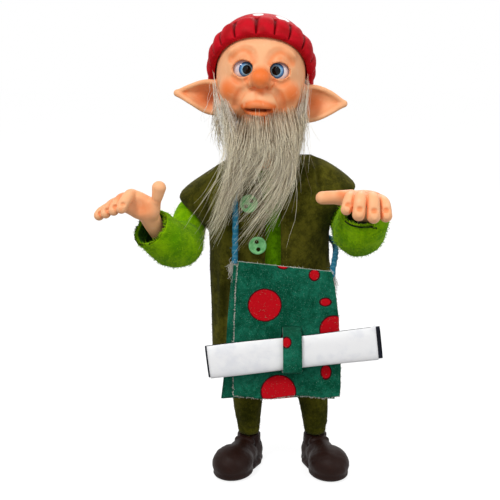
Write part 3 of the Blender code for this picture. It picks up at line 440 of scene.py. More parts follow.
@dataclass(frozen=True)
class ButtonPlastic(Finish):
    """Cloudy green button plastic."""

    def paint(self, board: Board) -> bpy.types.Material:
        """Cloud the green a little."""
        cloudy = board.noise(420.0, 3.0, 0.6)
        fine = board.noise(2400.0, 2.0)
        colour = board.mix(srgb(128, 196, 130), srgb(92, 166, 98), cloudy.step(0.35, 0.70))
        # Painted shade: dark green in the holes and the dish.
        colour = board.mix(colour, srgb(34, 84, 44), board.attribute("hollow_shade").step(0.15, 0.9) * 0.8)
        return board.finish(colour, 0.30 + fine * 0.16, board.bump(fine, 0.08, 0.0002),
                            Specular_IOR_Level=0.3)


SKIN = SkinClay("skin_clay")
BOOT_CLAY = PlainClay("boot_clay", srgb(31, 12, 6), srgb(10, 3, 2), srgb(42, 19, 12))
PLUSH = Cloth("lime_plush_cloth", srgb(146, 196, 4), srgb(92, 148, 0), srgb(182, 218, 50), Nap.PLUSH, 0.40)
# Darker copies of the lime plush and its pile: painted shade on the sweater front.
SHADED_PLUSH = Cloth("sweater_front_shaded_cloth", srgb(104, 158, 4), srgb(58, 96, 0), srgb(140, 184, 40),
                     Nap.PLUSH, 0.35)
CUFF_KNIT = Cloth("lime_knit_cloth", srgb(78, 150, 12), srgb(16, 62, 4), srgb(120, 180, 30), Nap.WOVEN, 0.3)
VEST_FELT = Cloth("olive_felt_cloth", srgb(92, 88, 24), srgb(46, 46, 6), srgb(128, 122, 60), Nap.FELT, 0.35)
TROUSER_FELT = Cloth("trouser_felt_cloth", srgb(84, 82, 18), srgb(42, 44, 4), srgb(120, 116, 50), Nap.FELT,
                     0.35)
WHITE_HAIR = Fibre("white_hair", srgb(246, 234, 212), srgb(255, 252, 240), srgb(176, 156, 130))
HAIR = Fibre("grey_hair", srgb(228, 206, 176), srgb(250, 242, 216), srgb(128, 106, 78))
PLUSH_PILE = Fibre("lime_pile", srgb(112, 170, 0), srgb(166, 212, 14), srgb(88, 146, 0), 0.8)
SHADED_PILE = Fibre("sweater_front_shaded_pile", srgb(74, 116, 0), srgb(112, 164, 6), srgb(56, 92, 0), 0.8)
FELT_PILE = Fibre("olive_pile", srgb(80, 77, 14), srgb(110, 104, 36), srgb(54, 54, 6), 0.9)
BAG_PILE = Fibre("green_pile", srgb(10, 90, 64), srgb(90, 164, 140), srgb(4, 66, 46), 0.9)
YARN = Fibre("blue_yarn_ply", srgb(38, 112, 142), srgb(38, 112, 142), srgb(92, 152, 172), 0.85)
THREAD = Fibre("olive_thread", srgb(98, 94, 34), srgb(98, 94, 34), srgb(70, 68, 18), 0.8)
# Near-black thread standing for shadow: painted shadow in the left cuff's fold and the right cuff's opening.
SHADOW_THREAD = Fibre("slit_shadow_thread", srgb(12, 20, 4), srgb(12, 20, 4), srgb(8, 14, 2), 0.9)
WHITE_THREAD = Fibre("white_thread", srgb(222, 218, 210), srgb(222, 218, 210), srgb(196, 192, 180), 0.8)
CARD = Paper("black_card_stock", srgb(10, 12, 22), srgb(26, 30, 48))
SHEET_PAPER = Paper("white_scroll_sheet", srgb(250, 250, 251), srgb(238, 239, 243))


# Meshes

def catmull(points: Sequence[Point], count: int) -> np.ndarray:
    """Smooth a row of points.

    Args:
        points: The points the curve goes through.
        count: How many points to give back.

    Returns:
        The curve, count by 3.
    """
    p = np.array(points, float)
    place = np.linspace(0.0, len(p) - 1.0, count)
    index = np.minimum(place.astype(int), len(p) - 2)
    t = (place - index)[:, None]
    a = p[np.maximum(index - 1, 0)]
    b = p[index]
    c = p[index + 1]
    d = p[np.minimum(index + 2, len(p) - 1)]
    return 0.5 * (2 * b + (c - a) * t + (2 * a - 5 * b + 4 * c - d) * t ** 2
                  + (3 * b - a - 3 * c + d) * t ** 3)


def spread(values: Sequence[float], share: np.ndarray) -> np.ndarray:
    """Read a list of numbers at shares of its length."""
    return np.interp(share, np.linspace(0.0, 1.0, len(values)), values)


def smoothstep(low: float, high: float, value: np.ndarray) -> np.ndarray:
    """A smooth step from 0 at low to 1 at high."""
    t = np.clip((value - low) / (high - low), 0.0, 1.0)
    return t * t * (3.0 - 2.0 * t)


def ripple(points: np.ndarray, scale: float, seed: int, octaves: int = 3) -> np.ndarray:
    """Soft seeded waves over space.

    Args:
        points: Places, in millimetres.
        scale: Longest wave, in millimetres.
        seed: Which waves.
        octaves: How many sizes of wave.

    Returns:
        A value near -1 to 1 for each point.
    """
    rng = np.random.default_rng(seed)
    total = np.zeros(len(points))
    for octave in range(octaves):
        for _ in range(5):
            direction = rng.normal(size=3)
            direction /= np.linalg.norm(direction)
            wave = scale / 1.9 ** octave * rng.uniform(0.7, 1.3)
            total += np.sin(points @ direction * 2 * math.pi / wave + rng.uniform(0, 6.28)) * 0.6 ** octave
    return total / 5.0


def in_scene(name: str, data: bpy.types.ID) -> bpy.types.Object:
    """Put a mesh, lamp or camera in the scene."""
    made = bpy.data.objects.new(name, data)
    bpy.context.scene.collection.objects.link(made)
    return made


def store(mesh: bpy.types.Mesh, numbers: dict[str, np.ndarray]) -> None:
    """Store numbers on a mesh's points, by name."""
    for key, values in numbers.items():
        layer = mesh.attributes.new(key, "FLOAT", "POINT")
        layer.data.foreach_set("value", np.asarray(values, np.float32).ravel())


def thicken(piece: bpy.types.Object, thickness: float, offset: float = -1.0, rim: int = 0) -> None:
    """Give a one-layer piece its thickness in millimetres.

    Args:
        piece: The piece.
        thickness: How thick its wall is.
        offset: -1 for a wall behind the layer, 1 for one in front.
        rim: How many materials further the rim's material lies.
    """
    wall = piece.modifiers.new("wall", "SOLIDIFY")
    wall.thickness = thickness * MM
    wall.offset = offset
    wall.material_offset_rim = rim


def make_piece(name: str, points: np.ndarray, faces: Sequence, finish: Finish,
               nodes: Sequence[str] = (), numbers: dict[str, np.ndarray] | None = None,
               angle: float = 50.0) -> bpy.types.Object:
    """Make one piece in the row frame.

    Args:
        name: The piece's name.
        points: Vertices in the figure's own frame, in millimetres.
        faces: Faces as rows of vertex numbers.
        finish: Its finish.
        nodes: CAD nodes that it stands for.
        numbers: Numbers stored on its points.
        angle: Edges sharper than this stay sharp, in degrees.

    Returns:
        The piece.
    """
    mesh = bpy.data.meshes.new(name)
    rows = faces.tolist() if isinstance(faces, np.ndarray) else faces
    mesh.from_pydata(((points + STAND) * MM).tolist(), [], rows)
    store(mesh, numbers or {})
    mesh.materials.append(finish.material())
    mesh.shade_smooth()
    mesh.set_sharp_from_angle(angle=math.radians(angle))
    return settle(in_scene(name, mesh), nodes)


def settle(piece: bpy.types.Object, nodes: Sequence[str] = ()) -> bpy.types.Object:
    """Let a piece ride on the figure and stand for its CAD nodes."""
    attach(piece, "root")
    if nodes:
        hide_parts(*nodes)
    LOG.info("%s: %d faces", piece.name, len(piece.data.polygons))
    return piece


def grid_faces(rows: int, columns: int, closed: bool = False, flip: bool = False,
               skip: Callable[[int, int], bool] | None = None) -> list[tuple[int, int, int, int]]:
    """Faces of a grid of points laid out row by row.

    Args:
        rows: Rows of points.
        columns: Points in a row.
        closed: Whether each row closes on itself.
        flip: Whether to turn the faces over.
        skip: Faces to leave out, by row and column.

    Returns:
        The faces.
    """
    faces = []
    for r in range(rows - 1):
        for c in range(columns if closed else columns - 1):
            if skip and skip(r, c):
                continue
            n = (c + 1) % columns
            quad = (r * columns + c, r * columns + n, (r + 1) * columns + n, (r + 1) * columns + c)
            faces.append(quad[::-1] if flip else quad)
    return faces


def grid_normals(points: np.ndarray) -> np.ndarray:
    """Unit normals of a grid of points, rows by columns by 3."""
    normal = np.cross(np.gradient(points, axis=1), np.gradient(points, axis=0))
    return normal / np.maximum(np.linalg.norm(normal, axis=2, keepdims=True), 1e-9)


def poles(rows: int, columns: int, count: int) -> list[tuple[int, int, int]]:
    """Close a grid of closed rows with a point at either end.

    Args:
        rows: Rows of points.
        columns: Points in a row.
        count: The number of the first row's own end point; the last row's comes next.

    Returns:
        The faces.
    """
    last = (rows - 1) * columns
    near = [(count, (c + 1) % columns, c) for c in range(columns)]
    return near + [(count + 1, last + c, last + (c + 1) % columns) for c in range(columns)]


def ring_of(count: int) -> np.ndarray:
    """Angles at even steps round a circle."""
    return np.arange(count) * 2.0 * math.pi / count


def face_out(piece: bpy.types.Object) -> bpy.types.Object:
    """Turn a piece's faces outward and give it back."""
    shape = bmesh.new()
    shape.from_mesh(piece.data)
    bmesh.ops.recalc_face_normals(shape, faces=shape.faces)
    shape.to_mesh(piece.data)
    shape.free()
    return piece


# Modelled clay

class ClayForm:
    """Lumps of clay fused on a grid, in millimetres."""

    def __init__(self, low: Point, high: Point, cell: float) -> None:
        """Start with nothing in a box of space."""
        self.low = np.array(low, np.float32)
        self.cell = cell
        counts = [int(math.ceil((h - l) / cell)) + 1 for l, h in zip(low, high)]
        self.axes = [self.low[i] + cell * np.arange(counts[i], dtype=np.float32) for i in range(3)]
        self.field = np.full(counts, 30.0, np.float32)

    def _window(self, low: np.ndarray, high: np.ndarray) -> tuple[tuple[slice, ...], np.ndarray] | None:
        """The part of the grid inside a box, and its points."""
        start = [max(0, int((l - o) / self.cell)) for l, o in zip(low, self.low)]
        stop = [min(len(a), int((h - o) / self.cell) + 2) for h, o, a in zip(high, self.low, self.axes)]
        if any(b - a < 1 for a, b in zip(start, stop)):
            return None
        part = tuple(slice(a, b) for a, b in zip(start, stop))
        x, y, z = np.meshgrid(*[self.axes[i][part[i]] for i in range(3)], indexing="ij")
        return part, np.stack((x, y, z), -1)

    def _merge(self, part: tuple[slice, ...], distance: np.ndarray, blend: float, carve: bool) -> None:
        """Fuse a distance into the field, or cut it away."""
        have = self.field[part]
        if carve:
            soft = np.maximum(blend - np.abs(have + distance), 0.0) / blend
            self.field[part] = np.maximum(have, -distance) + soft * soft * blend * 0.25
        else:
            soft = np.maximum(blend - np.abs(have - distance), 0.0) / blend
            self.field[part] = np.minimum(have, distance) - soft * soft * blend * 0.25

    def ball(self, centre: Point, radii: Point, turn: Point = (0.0, 0.0, 0.0), blend: float = 2.0,
             carve: bool = False) -> None:
        """Add or cut an ellipsoid, turned by degrees about X, Y and Z."""
        middle = np.array(centre, np.float32)
        reach = max(radii) + blend + 3.0
        found = self._window(middle - reach, middle + reach)
        if found is None:
            return
        part, p = found
        rotation = np.array(Euler([math.radians(a) for a in turn]).to_matrix(), np.float32)
        q = (p - middle) @ rotation
        size = np.array(radii, np.float32)
        k0 = np.linalg.norm(q / size, axis=-1)
        k1 = np.linalg.norm(q / size ** 2, axis=-1)
        self._merge(part, k0 * (k0 - 1.0) / np.maximum(k1, 1e-6), blend, carve)

    def limb(self, points: Sequence[Point], radii: Sequence[float], blend: float = 2.0, carve: bool = False,
             steps: int = 5) -> None:
        """Add or cut a smooth tapering limb through the points."""
        count = (len(points) - 1) * steps + 1
        path = catmull(points, count).astype(np.float32)
        size = spread(radii, np.linspace(0.0, 1.0, count)).astype(np.float32)
        reach = float(size.max()) + blend + 3.0
        found = self._window(path.min(0) - reach, path.max(0) + reach)
        if found is None:
            return
        part, p = found
        best = np.full(p.shape[:3], 60.0, np.float32)
        for a, b, ra, rb in zip(path, path[1:], size, size[1:]):
            line = b - a
            offset = p - a
            share = np.clip(offset @ line / max(float(line @ line), 1e-9), 0.0, 1.0)
            gap = np.linalg.norm(offset - share[..., None] * line, axis=-1) - (ra + (rb - ra) * share)
            np.minimum(best, gap, out=best)
        self._merge(part, best, blend, carve)

    def solid(self, low: Point, high: Point, distance: Callable[[np.ndarray], np.ndarray], blend: float = 2.0,
              carve: bool = False) -> None:
        """Add or cut a form given by its own distance rule."""
        found = self._window(np.array(low), np.array(high))
        if found:
            self._merge(found[0], distance(found[1]).astype(np.float32), blend, carve)

    def sample(self, points: np.ndarray) -> np.ndarray:
        """The field's value at any points."""
        q = (points - self.low) / self.cell
        top = np.array(self.field.shape) - 2
        base = np.clip(np.floor(q).astype(int), 0, top)
        t = np.clip(q - base, 0.0, 1.0)
        total = np.zeros(len(points))
        for i in (0, 1):
            for j in (0, 1):
                for k in (0, 1):
                    share = (np.where(i, t[:, 0], 1 - t[:, 0]) * np.where(j, t[:, 1], 1 - t[:, 1])
                             * np.where(k, t[:, 2], 1 - t[:, 2]))
                    total += share * self.field[base[:, 0] + i, base[:, 1] + j, base[:, 2] + k]
        return total

    def normals(self, points: np.ndarray) -> np.ndarray:
        """Outward directions at points of the surface."""
        slope = np.stack([self.sample(points + step) - self.sample(points - step)
                          for step in np.eye(3) * self.cell], -1)
        return slope / np.maximum(np.linalg.norm(slope, axis=1, keepdims=True), 1e-6)

    def hollow_shade(self, points: np.ndarray, reach: float = 2.0) -> np.ndarray:
        """How far each point of the surface lies in a recess, 0 to 1: the mask for painted shade."""
        ahead = self.sample(points + self.normals(points) * reach)
        return np.clip((reach - ahead) / reach, 0.0, 1.0)

    def surface(self) -> tuple[np.ndarray, np.ndarray]:
        """The clay's skin.

        Returns:
            Points in millimetres, and faces of four.
        """
        f = self.field
        inside = f < 0.0
        shape = np.array(f.shape)
        count = np.zeros(shape - 1, np.int8)
        corners = [(i, j, k) for i in (0, 1) for j in (0, 1) for k in (0, 1)]
        for i, j, k in corners:
            count += inside[i:shape[0] - 1 + i, j:shape[1] - 1 + j, k:shape[2] - 1 + k]
        active = (count > 0) & (count < 8)
        cells = np.argwhere(active)
        ids = np.full(active.shape, -1, np.int64)
        ids[active] = np.arange(len(cells))
        total = np.zeros((len(cells), 3))
        number = np.zeros(len(cells))
        for axis in range(3):
            unit = np.eye(3, dtype=int)[axis]
            for corner in corners:
                if corner[axis]:
                    continue
                start = cells + corner
                a = f[tuple(start.T)]
                b = f[tuple((start + unit).T)]
                cross = (a < 0.0) != (b < 0.0)
                t = a[cross] / (a[cross] - b[cross])
                total[cross] += np.array(corner) + unit * t[:, None]
                number[cross] += 1
        points = self.low + self.cell * (cells + total / number[:, None])
        faces = []
        for axis in range(3):
            u, v = (axis + 1) % 3, (axis + 2) % 3
            first = np.take(inside, range(0, shape[axis] - 1), axis)
            second = np.take(inside, range(1, shape[axis]), axis)
            edges = np.argwhere(first != second)
            good = np.all((edges[:, (u, v)] >= 1) & (edges[:, (u, v)] <= shape[[u, v]] - 2), 1)
            edges = edges[good]
            ring = []
            for du, dv in ((-1, -1), (0, -1), (0, 0), (-1, 0)):
                spot = edges.copy()
                spot[:, u] += du
                spot[:, v] += dv
                ring.append(ids[tuple(spot.T)])
            quads = np.stack(ring, 1)
            outward = inside[tuple(edges.T)]
            faces.append(np.where(outward[:, None], quads, quads[:, ::-1]))
        return points, np.concatenate(faces)


# Strands, plies and stitches

class TubeTree:
    """Geometry Nodes that turn drawn lines into thin closed tubes."""

    def __init__(self) -> None:
        """Build the tree with its named inputs."""
        self.group = bpy.data.node_groups.new("line_to_tube", "GeometryNodeTree")
        kinds = {"Geometry": "Geometry", "Sides": "Int", "Wave": "Float", "Wave scale": "Float",
                 "Seed": "Float",
                 "Finish": "Material"}
        face = self.group.interface
        self.inputs = {name: face.new_socket(name, in_out="INPUT", socket_type="NodeSocket" + kind).identifier
                       for name, kind in kinds.items()}
        face.new_socket("Geometry", in_out="OUTPUT", socket_type="NodeSocketGeometry")
        tree = Tree(self.group)
        start = self.group.nodes.new("NodeGroupInput")
        end = self.group.nodes.new("NodeGroupOutput")
        given = {name: Sock(tree, start.outputs[name]) for name in kinds}
        line = tree.node("GeometryNodeMeshToCurve", {}, {0: given["Geometry"]})
        noise = tree.node("ShaderNodeTexNoise", {"noise_dimensions": "4D"},
                          {"Vector": tree.node("GeometryNodeInputPosition"), "W": given["Seed"],
                           "Scale": given["Wave scale"], "Detail": 1.0}, "Color")
        middle = tree.node("ShaderNodeVectorMath", {"operation": "SUBTRACT"}, {0: noise, 1: (0.5, 0.5, 0.5)})
        along, thick = (tree.node("GeometryNodeInputNamedAttribute", {"data_type": "FLOAT"}, {"Name": name})
                        for name in ("along", "thick"))
        shift = tree.node("ShaderNodeVectorMath", {"operation": "SCALE"},
                          {0: middle, "Scale": along * given["Wave"]})
        waved = tree.node("GeometryNodeSetPosition", {}, {"Geometry": line, "Offset": shift})
        ring = tree.node("GeometryNodeCurvePrimitiveCircle", {},
                         {"Resolution": given["Sides"], "Radius": 1.0})
        tube = tree.node("GeometryNodeCurveToMesh", {},
                         {"Curve": waved, "Profile Curve": ring, "Scale": thick, "Fill Caps": True})
        real = tree.node("GeometryNodeRealizeInstances", {}, {0: tube})
        done = tree.node("GeometryNodeSetMaterial", {}, {"Geometry": real, "Material": given["Finish"]})
        tree.feed(done, end.inputs[0])

    def grow(self, name: str, lines: np.ndarray, thick: np.ndarray | Sequence[float], tint: np.ndarray,
             finish: Finish, slot: str, nodes: Sequence[str] = (), sides: int = 3, wave: float = 0.0,
             wave_scale: float = 150.0, seed: float = 1.0) -> bpy.types.Object:
        """Turn lines into one piece of tubes.

        Args:
            name: The piece's name.
            lines: The lines, each with as many points, in the figure's frame, in millimetres.
            thick: Radii along a line, in millimetres, one row for all lines or one for each.
            tint: One number for each line.
            finish: Its finish.
            slot: Not used.
            nodes: CAD nodes that it stands for.
            sides: Sides of a tube.
            wave: How far the noise moves the far ends, in metres.
            wave_scale: The noise's scale per metre.
            seed: Which noise.

        Returns:
            The piece.
        """
        drawn = np.asarray(lines)
        count, size, _ = drawn.shape
        first = (np.arange(count)[:, None] * size + np.arange(size - 1)).ravel()
        mesh = bpy.data.meshes.new(name + "_lines")
        mesh.from_pydata(((drawn.reshape(-1, 3) + STAND) * MM).tolist(),
                         np.stack((first, first + 1), 1).tolist(), [])
        store(mesh, {"thick": np.broadcast_to(thick, (count, size)) * MM, "tint": np.repeat(tint, size),
                     "along": np.tile(np.linspace(0.0, 1.0, size), count)})
        source = in_scene(name + "_lines", mesh)
        tubes = source.modifiers.new("tubes", "NODES")
        tubes.node_group = self.group
        for key, value in (("Sides", sides), ("Wave", wave), ("Wave scale", wave_scale), ("Seed", seed),
                           ("Finish", finish.material())):
            tubes[self.inputs[key]] = value
        source.update_tag()
        graph = bpy.context.evaluated_depsgraph_get()
        result = bpy.data.meshes.new_from_object(source.evaluated_get(graph))
        bpy.data.objects.remove(source)
        result.name = name
        result.shade_smooth()
        return settle(in_scene(name, result), nodes)


def pile(surface: np.ndarray, faces: Sequence, count: int, length: float, thick: float, lean: Point,
         seed: int) -> tuple[np.ndarray, np.ndarray, np.ndarray]:
    """Short fibres scattered over a surface.

    Args:
        surface: Points of the surface, in millimetres.
        faces: Its faces of four, facing outward.
        count: How many fibres.
        length: Their length.
        thick: Their radius.
        lean: The way they lie.
        seed: Which scatter.

    Returns:
        Lines, radii and tints.
    """
    rng = np.random.default_rng(seed)
    quads = np.asarray(faces)
    a, b, c, d = (surface[quads[:, i]] for i in range(4))
    normal = np.cross(c - a, d - b)
    area = np.linalg.norm(normal, axis=1)
    pick = rng.choice(len(quads), count, p=area / area.sum())
    u = rng.random((count, 1))
    v = rng.random((count, 1))
    root = (a[pick] * (1 - u) + b[pick] * u) * (1 - v) + (d[pick] * (1 - u) + c[pick] * u) * v
    out = normal[pick] / np.maximum(area[pick, None], 1e-9)
    way = out + np.array(lean) + rng.normal(scale=0.55, size=(count, 3))
    way /= np.linalg.norm(way, axis=1, keepdims=True)
    reach = length * rng.uniform(0.5, 1.3, (count, 1))
    bend = rng.normal(scale=0.30, size=(count, 3)) * reach
    lines = np.stack((root - out * 0.15, root + way * reach * 0.5, root + way * reach + bend), 1)
    return lines, np.array((1.0, 0.8, 0.35)) * thick, rng.random(count)


def path_frames(path: np.ndarray) -> tuple[np.ndarray, np.ndarray, np.ndarray]:
    """Directions along a path and two across it that don't twist."""
    way = np.gradient(path, axis=0)
    way /= np.linalg.norm(way, axis=1, keepdims=True)
    side = np.zeros_like(path)
    last = np.cross(way[0], (0.3, 1.0, 0.2))
    for i, direction in enumerate(way):
        last = last - direction * (last @ direction)
        last /= np.linalg.norm(last)
        side[i] = last
    return way, side, np.cross(way, side)


def read(rows: Sequence[Sequence[float]], key: np.ndarray, column: int = 1, soft: float = 4.0) -> np.ndarray:
    """Read a table's column at heights, with its corners rounded over a reach."""
    table = np.array(rows)
    shifts = (-1.0, -0.5, 0.0, 0.5, 1.0)
    return sum(np.interp(key + s * soft, table[:, 0], table[:, column]) for s in shifts) / len(shifts)


def oval(angle: np.ndarray, wide: np.ndarray, deep: np.ndarray, power: float) -> tuple[np.ndarray,
                                                                                       np.ndarray]:
    """A rounded box ring: angle 0 at +X, a quarter turn at -Y."""
    c, s = np.cos(angle), np.sin(angle)
    return (wide * np.sign(c) * np.abs(c) ** (2.0 / power), -deep * np.sign(s) * np.abs(s) ** (2.0 / power))


def glow_at(points: np.ndarray, spots: Sequence[tuple[Point, float, float]]) -> np.ndarray:
    """The strongest of soft round spots, given as middle, radius and strength."""
    best = np.zeros(len(points))
    for centre, radius, strength in spots:
        reach = np.linalg.norm(points - np.array(centre), axis=1) / radius
        best = np.maximum(best, strength * np.exp(-reach ** 2))
    return best


def from_head(points: np.ndarray) -> np.ndarray:
    """Turn the head's own millimetres into the figure's."""
    return HEAD_PLACE + points @ np.array(HEAD_TURN).T


def to_head(points: np.ndarray) -> np.ndarray:
    """Turn the figure's millimetres into the head's own."""
    return (points - HEAD_PLACE) @ np.array(HEAD_TURN)


def in_metres(point: np.ndarray) -> Point:
    """A point of the figure as the row frame's metres."""
    return tuple(float(v) for v in (np.asarray(point) + STAND) * MM)


# The picture's stage

@dataclass
class Stage:
    """Camera, lamps, world and floor."""

    eye_point: Point = (0.0046, -0.6528, 0.280)
    tilt: float = 78.95
    lens: float = 75.24
    sensor: float = 36.0
    aim: Point = (0.0, 0.0, 0.15)
    ambient: float = 0.60
    floor_glow: float = 0.82
    floor_reach: float = 6.0
    lamps: tuple = (("key_lamp", (-0.50, -0.85, 1.15), 0.40, 9.5),
                    ("fill_lamp", (0.85, -0.80, 0.55), 0.70, 3.0),
                    ("back_lamp", (0.25, 0.90, 0.95), 0.60, 3.6))

    def build(self) -> None:
        """Make everything round the figure."""
        camera = bpy.data.cameras.new("camera")
        camera.lens = self.lens
        camera.sensor_width = self.sensor
        holder = in_scene("camera", camera)
        holder.location = self.eye_point
        holder.rotation_euler = (math.radians(self.tilt), 0.0, 0.0)
        scene = bpy.context.scene
        scene.camera = holder
        scene.view_settings.view_transform = "Standard"
        for name, place, size, power in self.lamps:
            lamp = bpy.data.lights.new(name, "AREA")
            lamp.shape = "DISK"
            lamp.size = size
            lamp.energy = power
            stand = in_scene(name, lamp)
            stand.location = place
            stand.rotation_euler = (Vector(self.aim) - Vector(place)).to_track_quat("-Z", "Y").to_euler()
        self._world()
        self._floor()

    def _world(self) -> None:
        """Soft even light, seen as white."""
        world = bpy.data.worlds.new("soft_room")
        world.use_nodes = True
        tree = Tree(world.node_tree)
        tree.feed(tree.mix((*[self.ambient] * 3, 1.0), (1.0, 1.0, 1.0, 1.0), tree.seen()),
                  world.node_tree.nodes["Background"].inputs["Color"])
        bpy.context.scene.world = world

    def _floor(self) -> None:
        """A pale floor that reads white and keeps the shadow."""
        board = Board("pale_floor")
        paper = board.mix(srgb(150, 150, 150), srgb(146, 146, 146), board.noise(4.0))
        glow = board.mix((0.0, 0.0, 0.0, 1.0), (*[self.floor_glow] * 3, 1.0), board.seen())
        board.finish(paper, 0.95, Emission_Strength=1.0, Emission_Color=glow, Specular_IOR_Level=0.0)
        mesh = bpy.data.meshes.new("floor")
        corners = ((-1, -1), (1, -1), (1, 1), (-1, 1))
        mesh.from_pydata([(x * self.floor_reach, y * self.floor_reach, 0) for x, y in corners], [],
                         [(0, 1, 2, 3)])
        mesh.materials.append(board.material)
        in_scene("floor", mesh)


# Strap

@dataclass
class Strap:
    """Yarn of three twisted plies over the right shoulder."""

    route: tuple[Point, ...] = (
        (-5.5, -30.2, 144.5), (-5.2, -29.2, 158.0), (-5.0, -29.8, 171.0), (-5.2, -29.6, 182.0),
                                (-5.8, -27.4, 191.0),
        (-6.4, -23.6, 199.5), (-7.0, -18.2, 206.6), (-7.6, -10.0, 211.0), (-7.8, 1.0, 212.2),
                                (-7.0, 11.5, 210.6),
        (-4.5, 19.2, 205.8), (-0.5, 24.6, 197.8), (6.0, 28.3, 189.0), (15.0, 29.8, 180.2),
                                (25.0, 30.0, 172.0),
        (35.0, 29.6, 164.5), (45.0, 27.6, 158.5), (54.5, 21.8, 154.0), (60.0, 11.5, 151.0),
                                (60.8, 0.0, 149.0),
        (60.0, -11.0, 146.5), (58.4, -20.5, 143.0), (57.0, -27.2, 138.5), (56.7, -30.2, 133.0))
    radius: float = 1.95
    groove: float = 0.42
    pitch: float = 7.0
    plies: int = 3
    rings: int = 320
    columns: int = 24
    fuzz: int = 480
    frays: int = 110

    def build(self, tubes: TubeTree) -> None:
        path = catmull(self.route, self.rings)
        steps = np.linalg.norm(np.diff(path, axis=0), axis=1)
        gone = np.concatenate(([0.0], np.cumsum(steps)))
        _, side, over = path_frames(path)
        columns = self.columns
        angle = ring_of(columns)
        twist = 2.0 * math.pi * gone / (self.pitch * self.plies)
        lobe = np.abs(np.cos(0.5 * self.plies * (angle[None, :] - twist[:, None])))
        size = self.radius - self.groove * (1.0 - lobe) ** 1.5
        size *= (1.0 + 0.03 * np.sin(gone * 0.9))[:, None]
        out = side[:, None] * np.cos(angle)[None, :, None] + over[:, None] * np.sin(angle)[None, :, None]
        points = (path[:, None] + out * size[..., None]).reshape(-1, 3)
        faces = [tuple(f) for f in grid_faces(len(path), columns, True)]
        faces += [tuple(range(columns)), tuple(range(len(points) - columns, len(points)))]
        numbers = {"tint": np.repeat(0.5 + 0.3 * np.sin(gone * 1.7), columns),
                   "along": np.repeat(gone / gone[-1], columns)}
        strap = make_piece("bag_strap_yarn", points, faces, YARN, ("bag_strap",), numbers, 80.0)
        face_out(strap)
        rng = np.random.default_rng(11)
        pick = rng.integers(0, len(path), self.fuzz)
        turn = rng.uniform(0.0, 2.0 * math.pi, (self.fuzz, 1))
        out = side[pick] * np.cos(turn) + over[pick] * np.sin(turn)
        root = path[pick] + out * self.radius * 0.85
        drift = rng.normal(size=(self.fuzz, 3))
        fuzz = np.stack((root, root + out * 0.5 + drift * 0.5, root + out * 0.8 + drift * 1.3), 1)
        tubes.grow("bag_strap_fuzz", fuzz, (0.07, 0.06, 0.03), rng.random(self.fuzz), YARN, "blue_yarn")
        ends = []
        for middle, lean in ((path[0] + (-1.0, -0.8, -2.0), -1.0), (path[-1] + (0.6, -0.8, -1.0), 1.0)):
            for _ in range(self.frays):
                start = middle + rng.normal(scale=(1.1, 0.5, 2.6))
                ends.append(np.stack((start, start + (lean * 0.8, -0.5, -1.6) + rng.normal(scale=0.6, size=3),
                                      start + (lean * 1.0, -0.8, -3.6) + rng.normal(scale=1.0, size=3))))
        tubes.grow("bag_strap_frayed_ends", ends, (0.12, 0.10, 0.05), rng.random(len(ends)), WHITE_THREAD,
                   "blue_yarn")


# Head, eyes and cap

